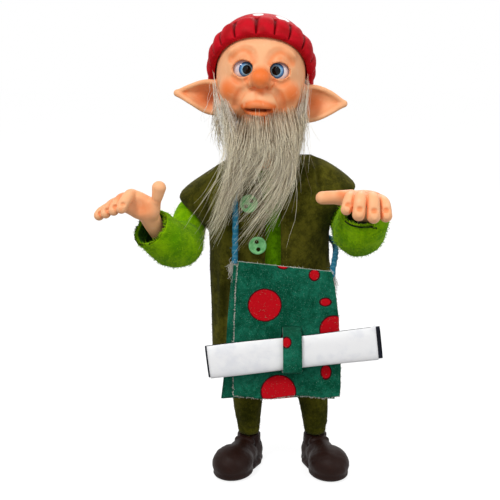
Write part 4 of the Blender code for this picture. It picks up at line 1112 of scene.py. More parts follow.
@dataclass
class Head:
    """The clay head, in its own frame, with its origin between the eyes."""

    skull_centre: Point = (0.0, 0.0, -2.0)
    skull: Point = (28.5, 30.0, 33.0)
    power: float = 2.25
    eye_spread: float = 11.0
    eye_depth: float = 17.5
    eye_radius: float = 8.0
    ear_tip: Point = (55.2, 1.0, -18.6)
    neck_end: float = 202.4
    gazes: tuple[Point, Point] = ((0.262, -0.964, -0.040), (-0.225, -0.974, 0.012))
    form: ClayForm = field(init=False)

    def build(self) -> None:
        """Model the head and set the eyes."""
        self.form = ClayForm((-59.0, -42.0, -66.0), (59.0, 33.0, 33.0), 0.78)
        self._skull()
        self._face()
        for side in (-1.0, 1.0):
            self._ear(side)
            self._eye_socket(side)
        self._mouth()
        self._finish()
        for side, gaze, name in ((-1.0, self.gazes[0], "right"), (1.0, self.gazes[1], "left")):
            self._eye(side, gaze, name)

    def on_skin(self, marks: Sequence[tuple[float, float]], lift: float = 0.0) -> list[Point]:
        """Points of the face in front, given across and up, lifted off the skin."""
        x, z = np.array(marks, float).T
        y = self.front(x, z)
        return [(float(a), float(b) - lift, float(c)) for a, b, c in zip(x, y, z)]

    def front(self, x: np.ndarray, z: np.ndarray) -> np.ndarray:
        """How far forward the clay reaches at places across and up."""
        depths = self.form.axes[1]
        grid = np.stack([np.repeat(x, len(depths)), np.tile(depths, len(x)), np.repeat(z, len(depths))], 1)
        inside = self.form.sample(grid).reshape(len(x), len(depths)) < 0.0
        return np.where(inside.any(1), depths[inside.argmax(1)], 0.0)

    def _skull(self) -> None:
        """Skull, jaw, cheeks and neck."""
        form = self.form
        radii = np.array(self.skull, np.float32)
        centre = np.array(self.skull_centre, np.float32)

        def rule(p: np.ndarray) -> np.ndarray:
            """Distance from the skull's rounded form."""
            reach = (np.abs((p - centre) / radii) ** self.power).sum(-1) ** (1.0 / self.power)
            return (reach - 1.0) * 29.0
        form.solid((-40, -40, -45), (40, 40, 40), rule)
        form.ball((0.0, -3.0, -17.5), (22.5, 22.5, 18.5), blend=5.0)
        form.ball((0.0, -22.6, -33.0), (8.5, 7.2, 6.2), blend=4.0)
        form.ball((0.0, -24.8, -19.8), (11.6, 7.6, 8.6), blend=4.5)
        for side in (-1.0, 1.0):
            form.ball((side * 15.6, -17.2, -13.2), (9.8, 9.6, 9.0), blend=3.5)
            form.ball((side * 17.0, -13.0, -23.0), (7.0, 8.0, 7.0), blend=4.0)
        form.limb(((0.0, 4.0, -25.0), (1.0, 2.0, -45.0), (1.8, 0.0, -66.0)), (11.0, 8.8, 8.8), blend=4.0)

    def _face(self) -> None:
        """Brows, nose and the folds beside it."""
        form = self.form
        for side in (-1.0, 1.0):
            form.ball((side * self.eye_spread, -self.eye_depth, 0.0), (10.0, 10.0, 9.7), blend=3.0)
            form.ball((side * 10.6, -21.5, 10.8), (10.0, 6.0, 4.4), (0.0, side * 12.0, 0.0), blend=3.5)
            form.ball((side * 4.2, -25.2, 5.4), (2.6, 3.4, 4.6), (0.0, side * -12.0, 0.0), blend=2.2)
        form.limb(((0.0, -24.0, 9.0), (0.0, -27.2, 2.4), (-0.1, -31.6, -3.6)), (3.0, 3.0, 4.6), blend=2.0)
        form.ball((-0.2, -32.6, -5.2), (6.6, 6.3, 5.6), blend=1.2)
        form.ball((-0.2, -33.0, -8.6), (3.2, 4.2, 2.6), blend=1.6)
        for side in (-1.0, 1.0):
            form.ball((side * 6.3, -29.4, -8.4), (3.0, 4.6, 3.3), (0.0, side * -14.0, 0.0), blend=1.0)
            form.limb(((side * 6.2, -34.4, -5.0), (side * 7.6, -31.4, -4.4), (side * 9.0, -28.0, -6.8)),
                      (0.5, 0.8, 0.7), blend=1.4, carve=True)
            form.ball((side * 3.1, -32.6, -11.4), (1.9, 2.4, 1.7), blend=0.7, carve=True)
            brow = self.on_skin(((side * 19.6, 6.0), (side * 16.0, 10.2), (side * 11.4, 11.9),
                                 (side * 7.4, 9.9),
                                 (side * 4.4, 5.2)), 2.3)
            form.limb(brow, (2.2, 3.3, 3.6, 3.3, 2.2), blend=2.6, carve=True)
            fold = self.on_skin(((side * 8.4, -10.2), (side * 11.2, -13.8), (side * 13.6, -18.4),
                                 (side * 15.0, -23.4)), 1.15 - 0.25 * side)
            form.limb(fold, (1.0, 1.9, 1.7, 0.9), blend=2.6, carve=True)
            under = self.on_skin(((side * 17.6, -5.4), (side * 12.4, -8.2), (side * 8.2, -6.4)), 0.9)
            form.limb(under, (0.5, 1.2, 0.7), blend=2.4, carve=True)
        philtrum = self.on_skin(((-0.4, -14.2), (-0.4, -16.4), (-0.4, -18.4)), 1.7)
        form.limb(philtrum, (2.0, 2.4, 2.0), blend=2.0, carve=True)

    def _ear(self, side: float) -> None:
        """One ear's bowl with its thicker rim."""
        tip = (self.ear_tip[0] - 1.6 * (side < 0.0), *self.ear_tip[1:])
        share = np.linspace(0.0, 0.985, 9)
        slim = float(side < 0.0)
        top = catmull(((25.0, -1.5, -11.0), (35.0, -2.0, -9.2 - slim), (45.5, -1.5, -12.2 - 1.8 * slim),
                       tip), 101)
        low = catmull(((21.5, -1.0, -30.0), (33.0, -2.5, -30.5 + 1.4 * slim),
                       (44.0, -3.5, -26.0 + 2.2 * slim), tip), 101)
        index = (share * 100).astype(int)
        for v in np.linspace(0.0, 1.0, 17):
            line = top[index] * (1.0 - v) + low[index] * v
            bowl = np.sin(math.pi * np.minimum(1.0, 0.30 + 0.7 * share))
            line[:, 1] += 1.1 + 6.4 * math.sin(math.pi * v) ** 0.8 * bowl
            line[:, 0] *= side
            rim = 1.0 if v in (0.0, 1.0) else 0.0
            size = (1.30 + 0.60 * rim) * (1.0 - 0.30 * share)
            self.form.limb(line.tolist(), size, blend=1.7, steps=2)

    def _eye_socket(self, side: float) -> None:
        """Lids round the eye, opened almond-wise."""
        x, y, r = side * self.eye_spread, -self.eye_depth, self.eye_radius
        turn = side * 10.0
        self.form.ball((x, y - r, 0.2), (6.75, 6.3, 5.2), (0.0, turn, 0.0), blend=0.8, carve=True)
        self.form.ball((x, y, 0.0), (r + 0.25,) * 3, blend=0.3, carve=True)

    def _mouth(self) -> None:
        """Lips with the slit between them."""
        form = self.form
        upper = self.on_skin(((-9.8, -23.8), (-5.2, -21.9), (-0.6, -21.2), (4.6, -21.7), (8.8, -22.9)), 0.1)
        lower = self.on_skin(((-8.4, -25.0), (-3.6, -27.0), (2.4, -27.2), (7.4, -24.9)), 0.1)
        form.limb(upper, (0.9, 2.3, 2.4, 2.3, 1.0), blend=1.0, steps=14)
        form.limb(lower, (0.9, 2.2, 2.2, 0.9), blend=1.0, steps=14)
        slit = self.on_skin(((-7.4, -24.5), (-3.6, -24.2), (-0.4, -23.9), (3.4, -24.0), (6.6, -24.0)), 0.2)
        form.limb(slit, (0.6, 1.25, 1.4, 1.2, 0.6), blend=0.6, carve=True, steps=14)
        deeper = [(a, b + 2.4, c) for a, b, c in slit]
        form.limb(deeper, (0.3, 1.2, 1.4, 1.2, 0.3), blend=0.7, carve=True, steps=14)
        crease = self.on_skin(((-5.0, -30.2), (0.0, -30.8), (5.0, -30.2)), 0.8)
        form.limb(crease, (0.8, 1.6, 0.8), blend=2.4, carve=True)
        self.lip_marks = [*catmull(upper, 30), *catmull(lower, 26)]
        self.slit_marks = [*catmull(slit, 24), *catmull(deeper, 24)]

    def _finish(self) -> None:
        """Cut the neck, skin the form and colour it: orange on its high places, painted shade in its low
        places.
        """
        form = self.form
        turn = np.array(HEAD_TURN)
        x, y, z = form.axes
        height = (HEAD_PLACE[2] + turn[2, 0] * x[:, None, None] + turn[2, 1] * y[None, :, None]
                  + turn[2, 2] * z[None, None, :])
        form.field = np.maximum(form.field, (self.neck_end - height).astype(np.float32))
        points, faces = form.surface()
        normal = form.normals(points)
        points += normal * (0.05 * ripple(points, 9.0, 5))[:, None]
        # Orange spots: real colouring on the nose, cheeks, chin and lips; orange painted shade along the brow
        # creases, round the eye sockets and in the ear bowls.
        spots = [((-0.2, -36.0, -3.6), 8.0, 1.15), ((-6.0, -32.0, -8.0), 3.2, 0.6),
                 ((6.6, -32.0, -8.0), 3.6, 0.8), ((0.0, -30.6, -12.2), 3.0, 0.7),
                 ((0.0, -29.0, -33.0), 7.0, 0.35)]
        for side in (-1.0, 1.0):
            spots += [((side * 19.0, -23.5, -13.0), 7.6, 0.95), ((side * 14.0, -28.0, -21.0), 3.6, 0.45),
                      *[(mark, 2.7,
                         0.62) for mark in self.on_skin(catmull(((side * 18.6, 5.0), (side * 15.8, 9.2),
                        (side * 11.4, 11.2), (side * 7.4, 9.2), (side * 4.8, 4.4)), 24))],
                      ((side * 11.4, -27.0, 9.5), 6.4, 0.45), ((side * 17.0, -23.5, 5.5), 5.0, 0.45),
                      ((side * 5.4, -28.5, 8.0), 3.2, 0.45), ((side * 36.0, 3.0, -20.0), 10.0, 0.65),
                      ((side * 48.0, 0.0, -18.5), 6.0, 0.4)]
        spots += [(mark, 3.0, 1.25) for mark in self.lip_marks]
        facing = np.clip(-normal[:, 1] * 1.6, 0.0, 1.0)
        # Dark orange: painted shade in the ear bowls and the mouth slit, and the lips' own darker colour.
        deep = glow_at(points,
                       [((side * 31.0, 4.5, -20.5), 7.0, 0.55 - 0.2 * side) for side in (-1.0, 1.0)]) * facing
        deep = np.maximum(deep, glow_at(points, [(mark, 2.8, 0.46) for mark in self.lip_marks]))
        deep = np.maximum(deep, glow_at(points, [(mark, 1.6, 1.3) for mark in self.slit_marks]))
        # The last stored number is painted shade in the hollows and creases.
        numbers = {"blush_and_shade": glow_at(points, spots) * np.where(points[:, 1] < 3.0, 1.0, facing),
                   "deep": np.clip(deep, 0.0, 1.0), "hollow_shade": form.hollow_shade(points, 2.2)}
        make_piece("modelled_head", from_head(points), faces, SKIN, ("head",), numbers, 80.0)

    def _eye(self, side: float, gaze: Point, name: str) -> None:
        """One doll eye with its slightly raised cornea."""
        centre = np.array((side * self.eye_spread, -self.eye_depth, 0.0))
        rows, columns = 42, 60
        rise = np.linspace(0.0, math.pi, rows)[1:-1]
        turn = ring_of(columns)
        ring = np.stack((np.outer(np.sin(rise), np.cos(turn)), -np.outer(np.cos(rise), np.ones(columns)),
                         np.outer(np.sin(rise), np.sin(turn))), -1).reshape(-1, 3)
        way = np.concatenate((ring, ((0.0, -1.0, 0.0), (0.0, 1.0, 0.0))))
        away = np.linalg.norm(way - np.array(gaze), axis=1)
        points = centre + way * (self.eye_radius - 0.05 + 0.28 * np.exp(-(away / 0.42) ** 4))[:, None]
        faces = grid_faces(rows - 2, columns, True) + poles(rows - 2, columns, len(ring))
        finish = DollEye("doll_eye_" + name, in_metres(from_head(centre)),
                         tuple(np.array(HEAD_TURN) @ np.array(gaze)),
                         self.eye_radius * MM)
        face_out(make_piece("glass_eye_" + name, from_head(points), faces, finish,
                            ("eye_" + name,)))


@dataclass
class Cap:
    """The red clay cap with its rolled, notched band."""

    edge: float = 20.0
    slope: float = 1.06
    ease: float = 1.0
    wall: float = 3.0
    band: float = 12.0
    puff: float = 2.2
    length: float = 52.0
    notches: int = 20
    columns: int = 340
    seen_spots: tuple = (((-4.0, -9.5, 33.0), 3.4), ((11.0, -9.0, 31.0), 4.6))
    back_spots: tuple = ((15, 0.52, 4.0), (58, 0.30, 4.4), (75, 0.62, 4.2), (120, 0.48, 4.6),
                         (165, 0.60, 4.0),
                         (190, 0.30, 4.2), (-150, 0.62, 4.0), (-28, 0.60, 4.2), (100, 0.10, 3.6))

    def place(self, head: Head, turn: np.ndarray, share: float, grow: np.ndarray) -> np.ndarray:
        """Points of the cap: share 0 at the crown and 1 at the edge."""
        axis = np.array((0.0, self.slope, 1.0))
        unit = axis / np.linalg.norm(axis)
        forward = np.cross(unit, (1.0, 0.0, 0.0))
        round_it = np.outer(np.cos(turn), (1.0, 0.0, 0.0)) + np.outer(np.sin(turn), forward)
        centre, radii = np.array(head.skull_centre), np.array(head.skull)
        offset = self.edge - self.slope * 0.84 * radii[1] - axis @ centre

        def reach(way: np.ndarray) -> np.ndarray:
            """Distance to the grown skull along a direction."""
            return (np.abs(way / (radii + grow[:, None])) ** head.power).sum(1) ** (-1.0 / head.power)
        low, high = np.full(len(turn), 0.6), np.full(len(turn), 2.4)
        for _ in range(26):
            tilt = (low + high) / 2.0
            way = unit * np.cos(tilt)[:, None] + round_it * np.sin(tilt)[:, None]
            above = (way @ axis) * reach(way) > offset
            low, high = np.where(above, tilt, low), np.where(above, high, tilt)
        tilt = low * share
        way = unit * np.cos(tilt)[:, None] + round_it * np.sin(tilt)[:, None]
        return centre + way * reach(way)[:, None]

    def build(self, head: Head) -> None:
        """Make the dome, the band with its notches and the inside."""
        turn = np.arange(self.columns) * 2.0 * math.pi / self.columns
        beat = (turn * self.notches / (2.0 * math.pi) - 0.5 + 0.12 * np.sin(5.0 * turn)) % 1.0
        beat = np.minimum(beat, 1.0 - beat)
        across = beat * 2.0 * math.pi / self.notches * 33.0
        outer = np.concatenate((np.linspace(0.004, 0.74, 38), np.linspace(0.747, 1.0, 40)))
        rows, hollow_shade = [], []
        for share in outer:
            gone = (1.0 - share) * self.length
            middle = min(gone / self.band, 1.0)
            band = self.puff * ((1.0 - abs(2.0 * middle - 1.0) ** 3.0) * 0.65 + 0.35)
            puff = band if gone < self.band else self.puff * 0.35 * max(0.0,
                                                                        1.0 - (gone - self.band) / 2.4) ** 2
            seam = math.exp(-((gone - self.band - 0.6) / 0.8) ** 2)
            window = float(smoothstep(-3.0, 0.6,
                                      np.array(gone)) * (1.0 - smoothstep(9.4, 12.2, np.array(gone))))
            notch = np.exp(-(across / (0.45 + 0.085 * gone)) ** 2) * window
            pillow = -0.35 * np.cos(beat * 2.0 * math.pi) * window
            grow = self.ease + self.wall + puff * 1.08 - 1.75 * notch + pillow - 0.45 * seam
            rows.append(self.place(head, turn, share, grow))
            # Painted shade in the notches and along the seam above the band.
            hollow_shade.append(notch * 0.9 + seam * 0.35)
        for angle in np.linspace(0.25, math.pi - 0.25, 7):
            edge = self.wall + self.puff * 0.35 - 1.4 * notch
            grow = self.ease + edge * (0.5 + 0.5 * math.cos(angle))
            rows.append(self.place(head, turn, 1.0 + 0.016 * math.sin(angle), grow))
            hollow_shade.append(np.zeros(len(turn)))
        for share in np.linspace(1.0, 0.01, 14):
            rows.append(self.place(head, turn, share, np.full(len(turn), self.ease)))
            hollow_shade.append(np.zeros(len(turn)))
        points = np.concatenate(rows)
        points += (points / np.linalg.norm(points, axis=1, keepdims=True)) * (0.12 * ripple(points, 22.0,
                                                                                            3))[:, None]
        faces = grid_faces(len(rows), self.columns, True) + poles(len(rows), self.columns, len(points))
        points = np.concatenate((points, [rows[0].mean(0), rows[-1].mean(0)]))
        numbers = {"hollow_shade": np.concatenate((*hollow_shade, np.zeros(2)))}
        spots = []
        for centre, radius in self.seen_spots:
            way = np.array(centre) - head.skull_centre
            grown = np.array(head.skull) + self.ease + self.wall
            reach = (np.abs(way / grown) ** head.power).sum() ** (-1.0 / head.power)
            spots.append((in_metres(from_head(np.array(head.skull_centre) + way * reach)), radius))
        for degrees, share, radius in self.back_spots:
            spot = self.place(head, np.array([math.radians(degrees)]), share,
                              np.array([self.ease + self.wall]))[0]
            spots.append((in_metres(from_head(spot)), radius))
        cap = make_piece("clay_cap", from_head(points), faces, CapClay("cap_clay", tuple(spots)),
                         ("cap",), numbers, 80.0)
        face_out(cap)


# Hair

@dataclass
class Hair:
    """Glued fur: beard, sideburns and loose wisps, each grown along drawn guides."""

    right_burn: tuple = ((-16.4, -12, 263.0), (-15.4, -15, 255.0), (-14, -18, 247.0), (-12.1, -21, 239.3),
                         (-8.9, -26, 228.5), (-5.7, -32, 217.9), (-5.5, -34, 205.7), (-8.0, -34, 190.0))
    left_burn: tuple = ((42.4, -9, 262.5), (41.8, -12, 254.0), (40.4, -15, 245.0), (38.6, -18, 236.0),
                        (36.0, -23, 227.0), (33.2, -29, 217.0), (30.4, -33, 206.0), (28.0, -34, 194.0))
    locks: tuple = (
        ((-3.2, -30, 235.0), (-6.2, -35, 220.3), (-6.9, -36, 208), (-8.8, -36, 195.5), (-13.2, -35, 182.8),
         (-18.3, -34, 168.1), (-27.3, -33, 152.6)),
        ((4.2, -36, 240.2), (2.4, -38, 223.5), (-0.1, -38, 211.2), (-4.5, -37, 198.7), (-9.5, -36, 186.1),
         (-14.5, -35, 170.2), (-22.2, -34, 154)),
        ((9.1, -37, 240.6), (9.7, -39, 223.5), (8.5, -39, 212.5), (1.7, -38, 202.5), (-5.7, -37, 192.5),
         (-13.2, -36, 178.5), (-23.3, -35, 165.7)),
        ((15.2, -37, 240.4), (16.4, -39, 223.5), (15.2, -39, 214.4), (11.6, -38, 206.3), (5.4, -37, 198.7),
         (-2, -36, 188.6), (-10.8, -35, 177.1)),
        ((22.6, -35, 240.2), (25.7, -37, 223.4), (27, -37, 211.1), (25.2, -37, 199.9), (20.3, -36, 188.7),
         (12.9, -36, 177.4), (4.2, -35, 166.1), (-4.6, -34, 154.4)),
        ((30.2, -28, 243.0), (32.6, -32, 227.8), (32, -34, 216.8), (29.6, -35, 204.5), (27.8, -36, 195.3),
         (22.8, -36, 184.8), (15.4, -35, 173.5), (7.3, -34, 157.6)))
    wisps: tuple = (
        ((-18.5, -12, 255.8), (-19.2, -14, 243.3), (-18.6, -16, 230.9), (-17.9, -18, 219.7)),
        ((-15.3, -20, 234.3), (-14, -24, 225.3), (-12.1, -26, 216.1), (-10.2, -28, 208.8)))
    weights: tuple[float, ...] = (1.5, 1.4, 1.2, 0.9, 0.35, 1.3, 1.3, 1.2)
    strand: float = 0.095
    points: int = 9

    def _grow(self, guides: Sequence, count: int, seed: int, weights: Sequence[float], starts: float,
              cut: tuple[float, float], loose: float, head: Head | None,
              clumped: float = 0.88) -> tuple[list, list, np.ndarray]:
        """Draw strands between guides.

        Args:
            guides: The guides in order across the face.
            count: Strands.
            seed: Which draw.
            weights: How thick the hair is at each guide.
            starts: How far down the guides a root may lie.
            cut: Least and greatest share of the guide that a strand reaches.
            loose: How far a strand strays, in millimetres.
            head: The head that the roots are set on.
            clumped: How far strands draw together toward their tips, from 0 to 1.

        Returns:
            Lines, radii and tints.
        """
        rng = np.random.default_rng(seed)
        dense = np.stack([catmull(g, 60) for g in guides])
        lanes = len(guides) - 1
        share = np.linspace(0.0, lanes, 400)
        weight = np.interp(share, np.arange(len(guides)), weights)
        clump = rng.choice(share, max(8, count // 22), p=weight / weight.sum())
        own = clump[rng.integers(0, len(clump), count)]
        lane = np.clip(own + rng.normal(scale=0.10 + 0.03 * lanes, size=count), 0.0, lanes)
        start = starts * (1.0 - rng.random(count) ** 2.2)
        stop = cut[0] + (cut[1] - cut[0]) * rng.random(count) ** 2.0
        t = np.linspace(0.0, 1.0, self.points)
        places = start[:, None] + (stop - start)[:, None] * t
        pull = clumped * t ** 0.9
        lanes_at = lane[:, None] * (1.0 - pull) + own[:, None] * pull
        low = np.minimum(lanes_at.astype(int), lanes - 1) if lanes else np.zeros_like(lanes_at, int)
        high = np.minimum(low + 1, lanes)
        mix = (lanes_at - low)[..., None]
        spot = places * 59.0
        step = np.minimum(spot.astype(int), 58)
        part = (spot - step)[..., None]

        def read_guide(index: np.ndarray) -> np.ndarray:
            """Points of guides at the strands' places."""
            return dense[index, step] * (1.0 - part) + dense[index, step + 1] * part
        lines = read_guide(low) * (1.0 - mix) + read_guide(high) * mix
        stray = rng.normal(size=(count, 1, 3)) * np.array((1.0, 0.55, 0.6)) * loose
        wild = np.where(rng.random(count) < 0.10, 2.6, 1.0)[:, None, None]
        lines[..., 2] += rng.normal(size=(count, 1)) * 1.3 * (1.0 - t)
        lines += stray * (0.30 + 1.10 * t[None, :, None] ** 1.5) * np.where(t[None, :, None] > 0.1, wild, 1.0)
        curl = rng.normal(size=(count, 2)) * 1.5
        beat, late = rng.uniform(9.0, 17.0, (count, 1)), rng.uniform(0, 6.28, (count, 1))
        lines[..., 0] += rng.normal(size=(count, 1)) * 0.42 * np.sin(t[None, :] * beat + late) * t ** 0.5
        swing = np.sin(t[None, :] * rng.uniform(2.0, 7.0, (count, 1)) + rng.uniform(0, 6.28, (count, 1))) * t
        lines[..., 0] += curl[:, :1] * swing
        lines[..., 1] += np.abs(curl[:, 1:]) * swing * 0.6
        if head:
            roots = to_head(lines[:, 0])
            roots[:, 1] = head.front(roots[:, 0], roots[:, 2]) + 0.4
            roots = from_head(roots)
            shift = roots[:, 1] - lines[:, 0, 1]
            lines[..., 1] += shift[:, None] * np.clip(1.0 - t / 0.22, 0.0, 1.0)[None, :]
        taper = np.interp(t, (0.0, 0.1, 0.75, 1.0), (0.8, 1.0, 0.8, 0.30)) * self.strand
        widths = rng.uniform(0.75, 1.3, (count, 1)) * taper
        return lines, widths, rng.random(count)

    def build(self, tubes: TubeTree, head: Head) -> None:
        """Grow the beard in three layers, the sideburns and the wisps."""
        fan = (self.right_burn[2:], *self.locks, self.left_burn[2:])
        layers = (("beard_under_layer", 1400, 21, (0.30, 0.80), 1.4, ("beard",)),
                  ("beard_main_layer", 1500, 22, (0.42, 1.0), 1.7, ()),
                  ("beard_loose_layer", 260, 23, (0.55, 1.0), 4.2, ()))
        for name, count, seed, cut, loose, nodes in layers:
            lines, widths, tint = self._grow(fan, count, seed, self.weights, 0.14, cut, loose, head,
                                             0.6 if nodes or loose > 4.0 else 0.9)
            tubes.grow(name, lines, widths, tint, HAIR, "grey_fur", nodes, wave=0.0022, wave_scale=90.0,
                       seed=seed)
        for side, guide, seed in (("right", self.right_burn, 31), ("left", self.left_burn, 32)):
            outer = tuple((x - (3.4 if side == "right" else -0.6), y + 1.0, z) for x, y, z in guide)
            inner = tuple((x + (4.0 if side == "right" else -4.5), y - 4.5, z - 3.0) for x, y, z in guide)
            lines, widths, tint = self._grow((outer, inner), 270, seed, (1.6, 1.0), 0.5, (0.45, 1.0), 2.0,
                                             None)
            tubes.grow("sideburn_" + side, lines, widths, tint, WHITE_HAIR, "grey_fur", ("whisker_" + side,),
                       wave=0.0018,
                       wave_scale=110.0, seed=seed)
        lines, widths, tint = self._grow(self.wisps, 90, 41, (1.0, 1.0), 0.3, (0.6, 1.0), 1.6, None)
        tubes.grow("loose_wisps", lines, widths, tint, HAIR, "grey_fur", wave=0.004, wave_scale=60.0,
                   seed=4.0)


# Body and clothes

BODY = ((101.8, 18.0, 29.0, 18.5), (130.0, 18.0, 29.0, 19.0), (160.0, 18.0, 30.0, 19.0),
        (178.0, 17.8, 31.5, 18.5),
        (189.0, 16.8, 28.0, 16.5), (196.0, 15.2, 21.5, 13.5), (202.0, 13.2, 13.0, 10.0))


@dataclass
class Sweater:
    """Plush sweater: the body and two sleeves."""

    power: float = 2.5
    outside: float = 3.2
    wall: float = 2.2
    right_path: tuple = ((-16.5, 0.0, 181.5), (-22.6, 0.4, 181.2), (-32.4, -1.8, 173.8), (-37.8, -7.8, 160.2),
                         (-40.0, -20.0, 155.5), (-45.0, -31.5, 157.0), (-50.8, -40.2, 164.0),
                         (-56.8, -47.0, 170.2))
    right_radii: tuple = (8.8, 8.8, 10.0, 12.2, 14.2, 14.2, 13.6, 12.7)
    left_path: tuple = ((52.6, 0.0, 181.5), (58.8, -0.2, 180.6), (65.2, -4.0, 171.5), (70.5, -12.0, 166.0),
                        (72.5, -26.0, 165.0), (73.5, -37.0, 169.0), (74.0, -44.0, 177.0),
                        (73.8, -47.5, 181.5))
    left_radii: tuple = (9.0, 9.2, 10.8, 14.0, 16.0, 16.2, 15.5, 14.6)

    def body_ring(self, height: np.ndarray, angle: np.ndarray, grow: float) -> np.ndarray:
        """Points round the stuffed body, grown outward."""
        x, y = oval(angle, read(BODY, height, 2) + grow, read(BODY, height, 3) + grow, self.power)
        return np.stack((read(BODY, height, 1) + x, y, height), -1)

    def build(self, tubes: TubeTree) -> None:
        """Make the body, the sleeves, their linings and the pile."""
        height, angle = np.meshgrid(np.linspace(101.8, 201.7, 50), np.arange(96) * 2 * math.pi / 96,
                                    indexing="ij")
        ring = self.body_ring(height, angle, self.outside)
        flat = ring.reshape(-1, 3)
        flat[:, 1] += 0.35 * ripple(flat, 14.0, 51)
        faces = grid_faces(50, 96, True)
        # The body and its front pile wear the darker plush copies: painted shade.
        body = make_piece("plush_sweater_body", flat, faces, SHADED_PLUSH, ("sweater_body",))
        thicken(face_out(body), 2.6)
        front = [f for f in faces if flat[f[0], 1] < -12.0 and 4.0 < flat[f[0], 0] < 32.0]
        tubes.grow("sweater_front_shaded_pile", *pile(flat, front, 800, 1.1, 0.10, (0.0, 0.0, -0.6), 52),
                   SHADED_PILE,
                   "lime_plush")
        self._sleeve(tubes, "right", self.right_path, self.right_radii, 61)
        self._sleeve(tubes, "left", self.left_path, self.left_radii, 62)

    def _tube(self, path: Sequence[Point], radii: Sequence[float], low: float, high: float, rows: int,
              columns: int, shrink: float, seed: int) -> np.ndarray:
        """Rings round a sleeve's path with its soft folds."""
        share = np.linspace(low, high, rows)
        fine = catmull(path, 2001)
        index = np.clip((share * 2000).astype(int), 0, 2000)
        here = fine[index]
        way = fine[np.minimum(index + 40, 2000)] - fine[np.maximum(index - 40, 0)]
        way /= np.linalg.norm(way, axis=1, keepdims=True)
        side = np.cross(way, (0.0, -0.55, 1.0))
        side /= np.linalg.norm(side, axis=1, keepdims=True)
        over = np.cross(side, way)
        angle = np.arange(columns) * 2 * math.pi / columns
        round_it = side[:, None] * np.cos(angle)[None, :, None] + over[:, None] * np.sin(angle)[None, :, None]
        size = spread(radii, share)[:, None] * (1.0 + 0.035 * np.sin(9 * math.pi * share)[:, None]
                                                * np.sin(angle + 1.0)[None, :])
        plain = here[:, None] + round_it * size[..., None]
        fold = ripple(plain.reshape(-1, 3), 17.0, seed, 3).reshape(rows, columns)
        rise = 0.65 * fold * smoothstep(0.12, 0.3, share)[:, None]
        return here[:, None] + round_it * (size + rise - shrink)[..., None]

    def _sleeve(self, tubes: TubeTree, name: str, path: Sequence[Point], radii: Sequence[float],
                seed: int) -> None:
        """One sleeve, its knit lining, its pile and its frayed cuff, with dark threads as painted shadow at
        the cuff.
        """
        rows, columns = 90, 96
        outer = self._tube(path, radii, 0.02, 1.0, rows, columns, 0.0, seed)
        edge = smoothstep(0.955, 1.0, np.linspace(0.02, 1.0, rows))[:, None, None]
        rng = np.random.default_rng(seed)
        ragged = np.convolve(np.tile(rng.normal(size=columns), 3), np.ones(3) / 3,
                             "same")[columns:2 * columns]
        way = outer[-1].mean(0) - outer[-8].mean(0)
        way /= np.linalg.norm(way)
        outer += edge * ragged[None, :, None] * way * 0.55
        points = outer.reshape(-1, 3)
        faces = grid_faces(rows, columns, True)
        piece = make_piece("plush_sleeve_" + name, points, faces, PLUSH, ("sleeve_" + name,))
        thicken(face_out(piece), self.wall)
        inner = self._tube(path, radii, 0.60, 0.985, 24, columns, self.wall + 0.25, seed).reshape(-1, 3)
        lining = make_piece("sleeve_lining_" + name, inner, grid_faces(24, columns, True), CUFF_KNIT)
        thicken(face_out(lining), 0.4)
        middles = np.repeat(outer.mean(1), columns, 0)
        quads = np.array(faces)
        side = np.cross(points[quads[:, 2]] - points[quads[:, 0]], points[quads[:, 3]] - points[quads[:, 1]])
        outward = np.einsum("ij,ij->i", side, points[quads[:, 0]] - middles[quads[:, 0]]) > 0.0
        facing = np.where(outward[:, None], quads, quads[:, ::-1])
        tubes.grow("sleeve_pile_" + name,
                   *pile(points, facing, 2500, 1.35, 0.105, (0.0, 0.0, -0.35), seed + 4),
                   PLUSH_PILE, "lime_plush")
        # A dark thread along the left cuff's fold: painted shadow.
        if name == "left":
            marks = catmull(((60.4, 0, 177.4), (66.0, 0, 176.2), (74.0, 0, 174.0), (81.2, 0, 171.4)), 24)
            seam = [points[np.argmin(np.hypot(points[:, 0] - m[0], points[:, 2] - m[2])
                                     + np.maximum(points[:, 1] + 30.0, 0.0))] - (0.0, 0.15,
                                                                                 0.0) for m in marks]
            tubes.grow("sleeve_slit_shadow", [np.array(seam)], [np.full(24, 0.45)], np.ones(1), SHADOW_THREAD,
                       "lime_plush", sides=6)
        lip = outer[-1][rng.integers(0, columns, 420)]
        out = lip - outer[-1].mean(0)
        out /= np.linalg.norm(out, axis=1, keepdims=True)
        drift = rng.normal(scale=0.5, size=(420, 3))
        fray = np.stack((lip - out * 0.8, lip - out * 0.6 + way * 0.8 + drift * 0.4,
                         lip - out * (0.8 + rng.random((420, 1))) + way * 1.5 + drift), 1)
        tubes.grow("frayed_cuff_" + name, list(fray), [np.array((0.13, 0.11, 0.06))] * 420, rng.random(420),
                   PLUSH_PILE, "lime_plush")
        # Dark copies of the right cuff's frayed fibres: painted shade in the cuff's opening.
        if name == "right":
            cut = fray[::4] + (0.0, -0.25, 0.0)
            tubes.grow("cuff_shadow_threads", list(cut), [np.array((0.20, 0.20, 0.12))] * len(cut),
                       rng.random(len(cut)), SHADOW_THREAD, "lime_plush")


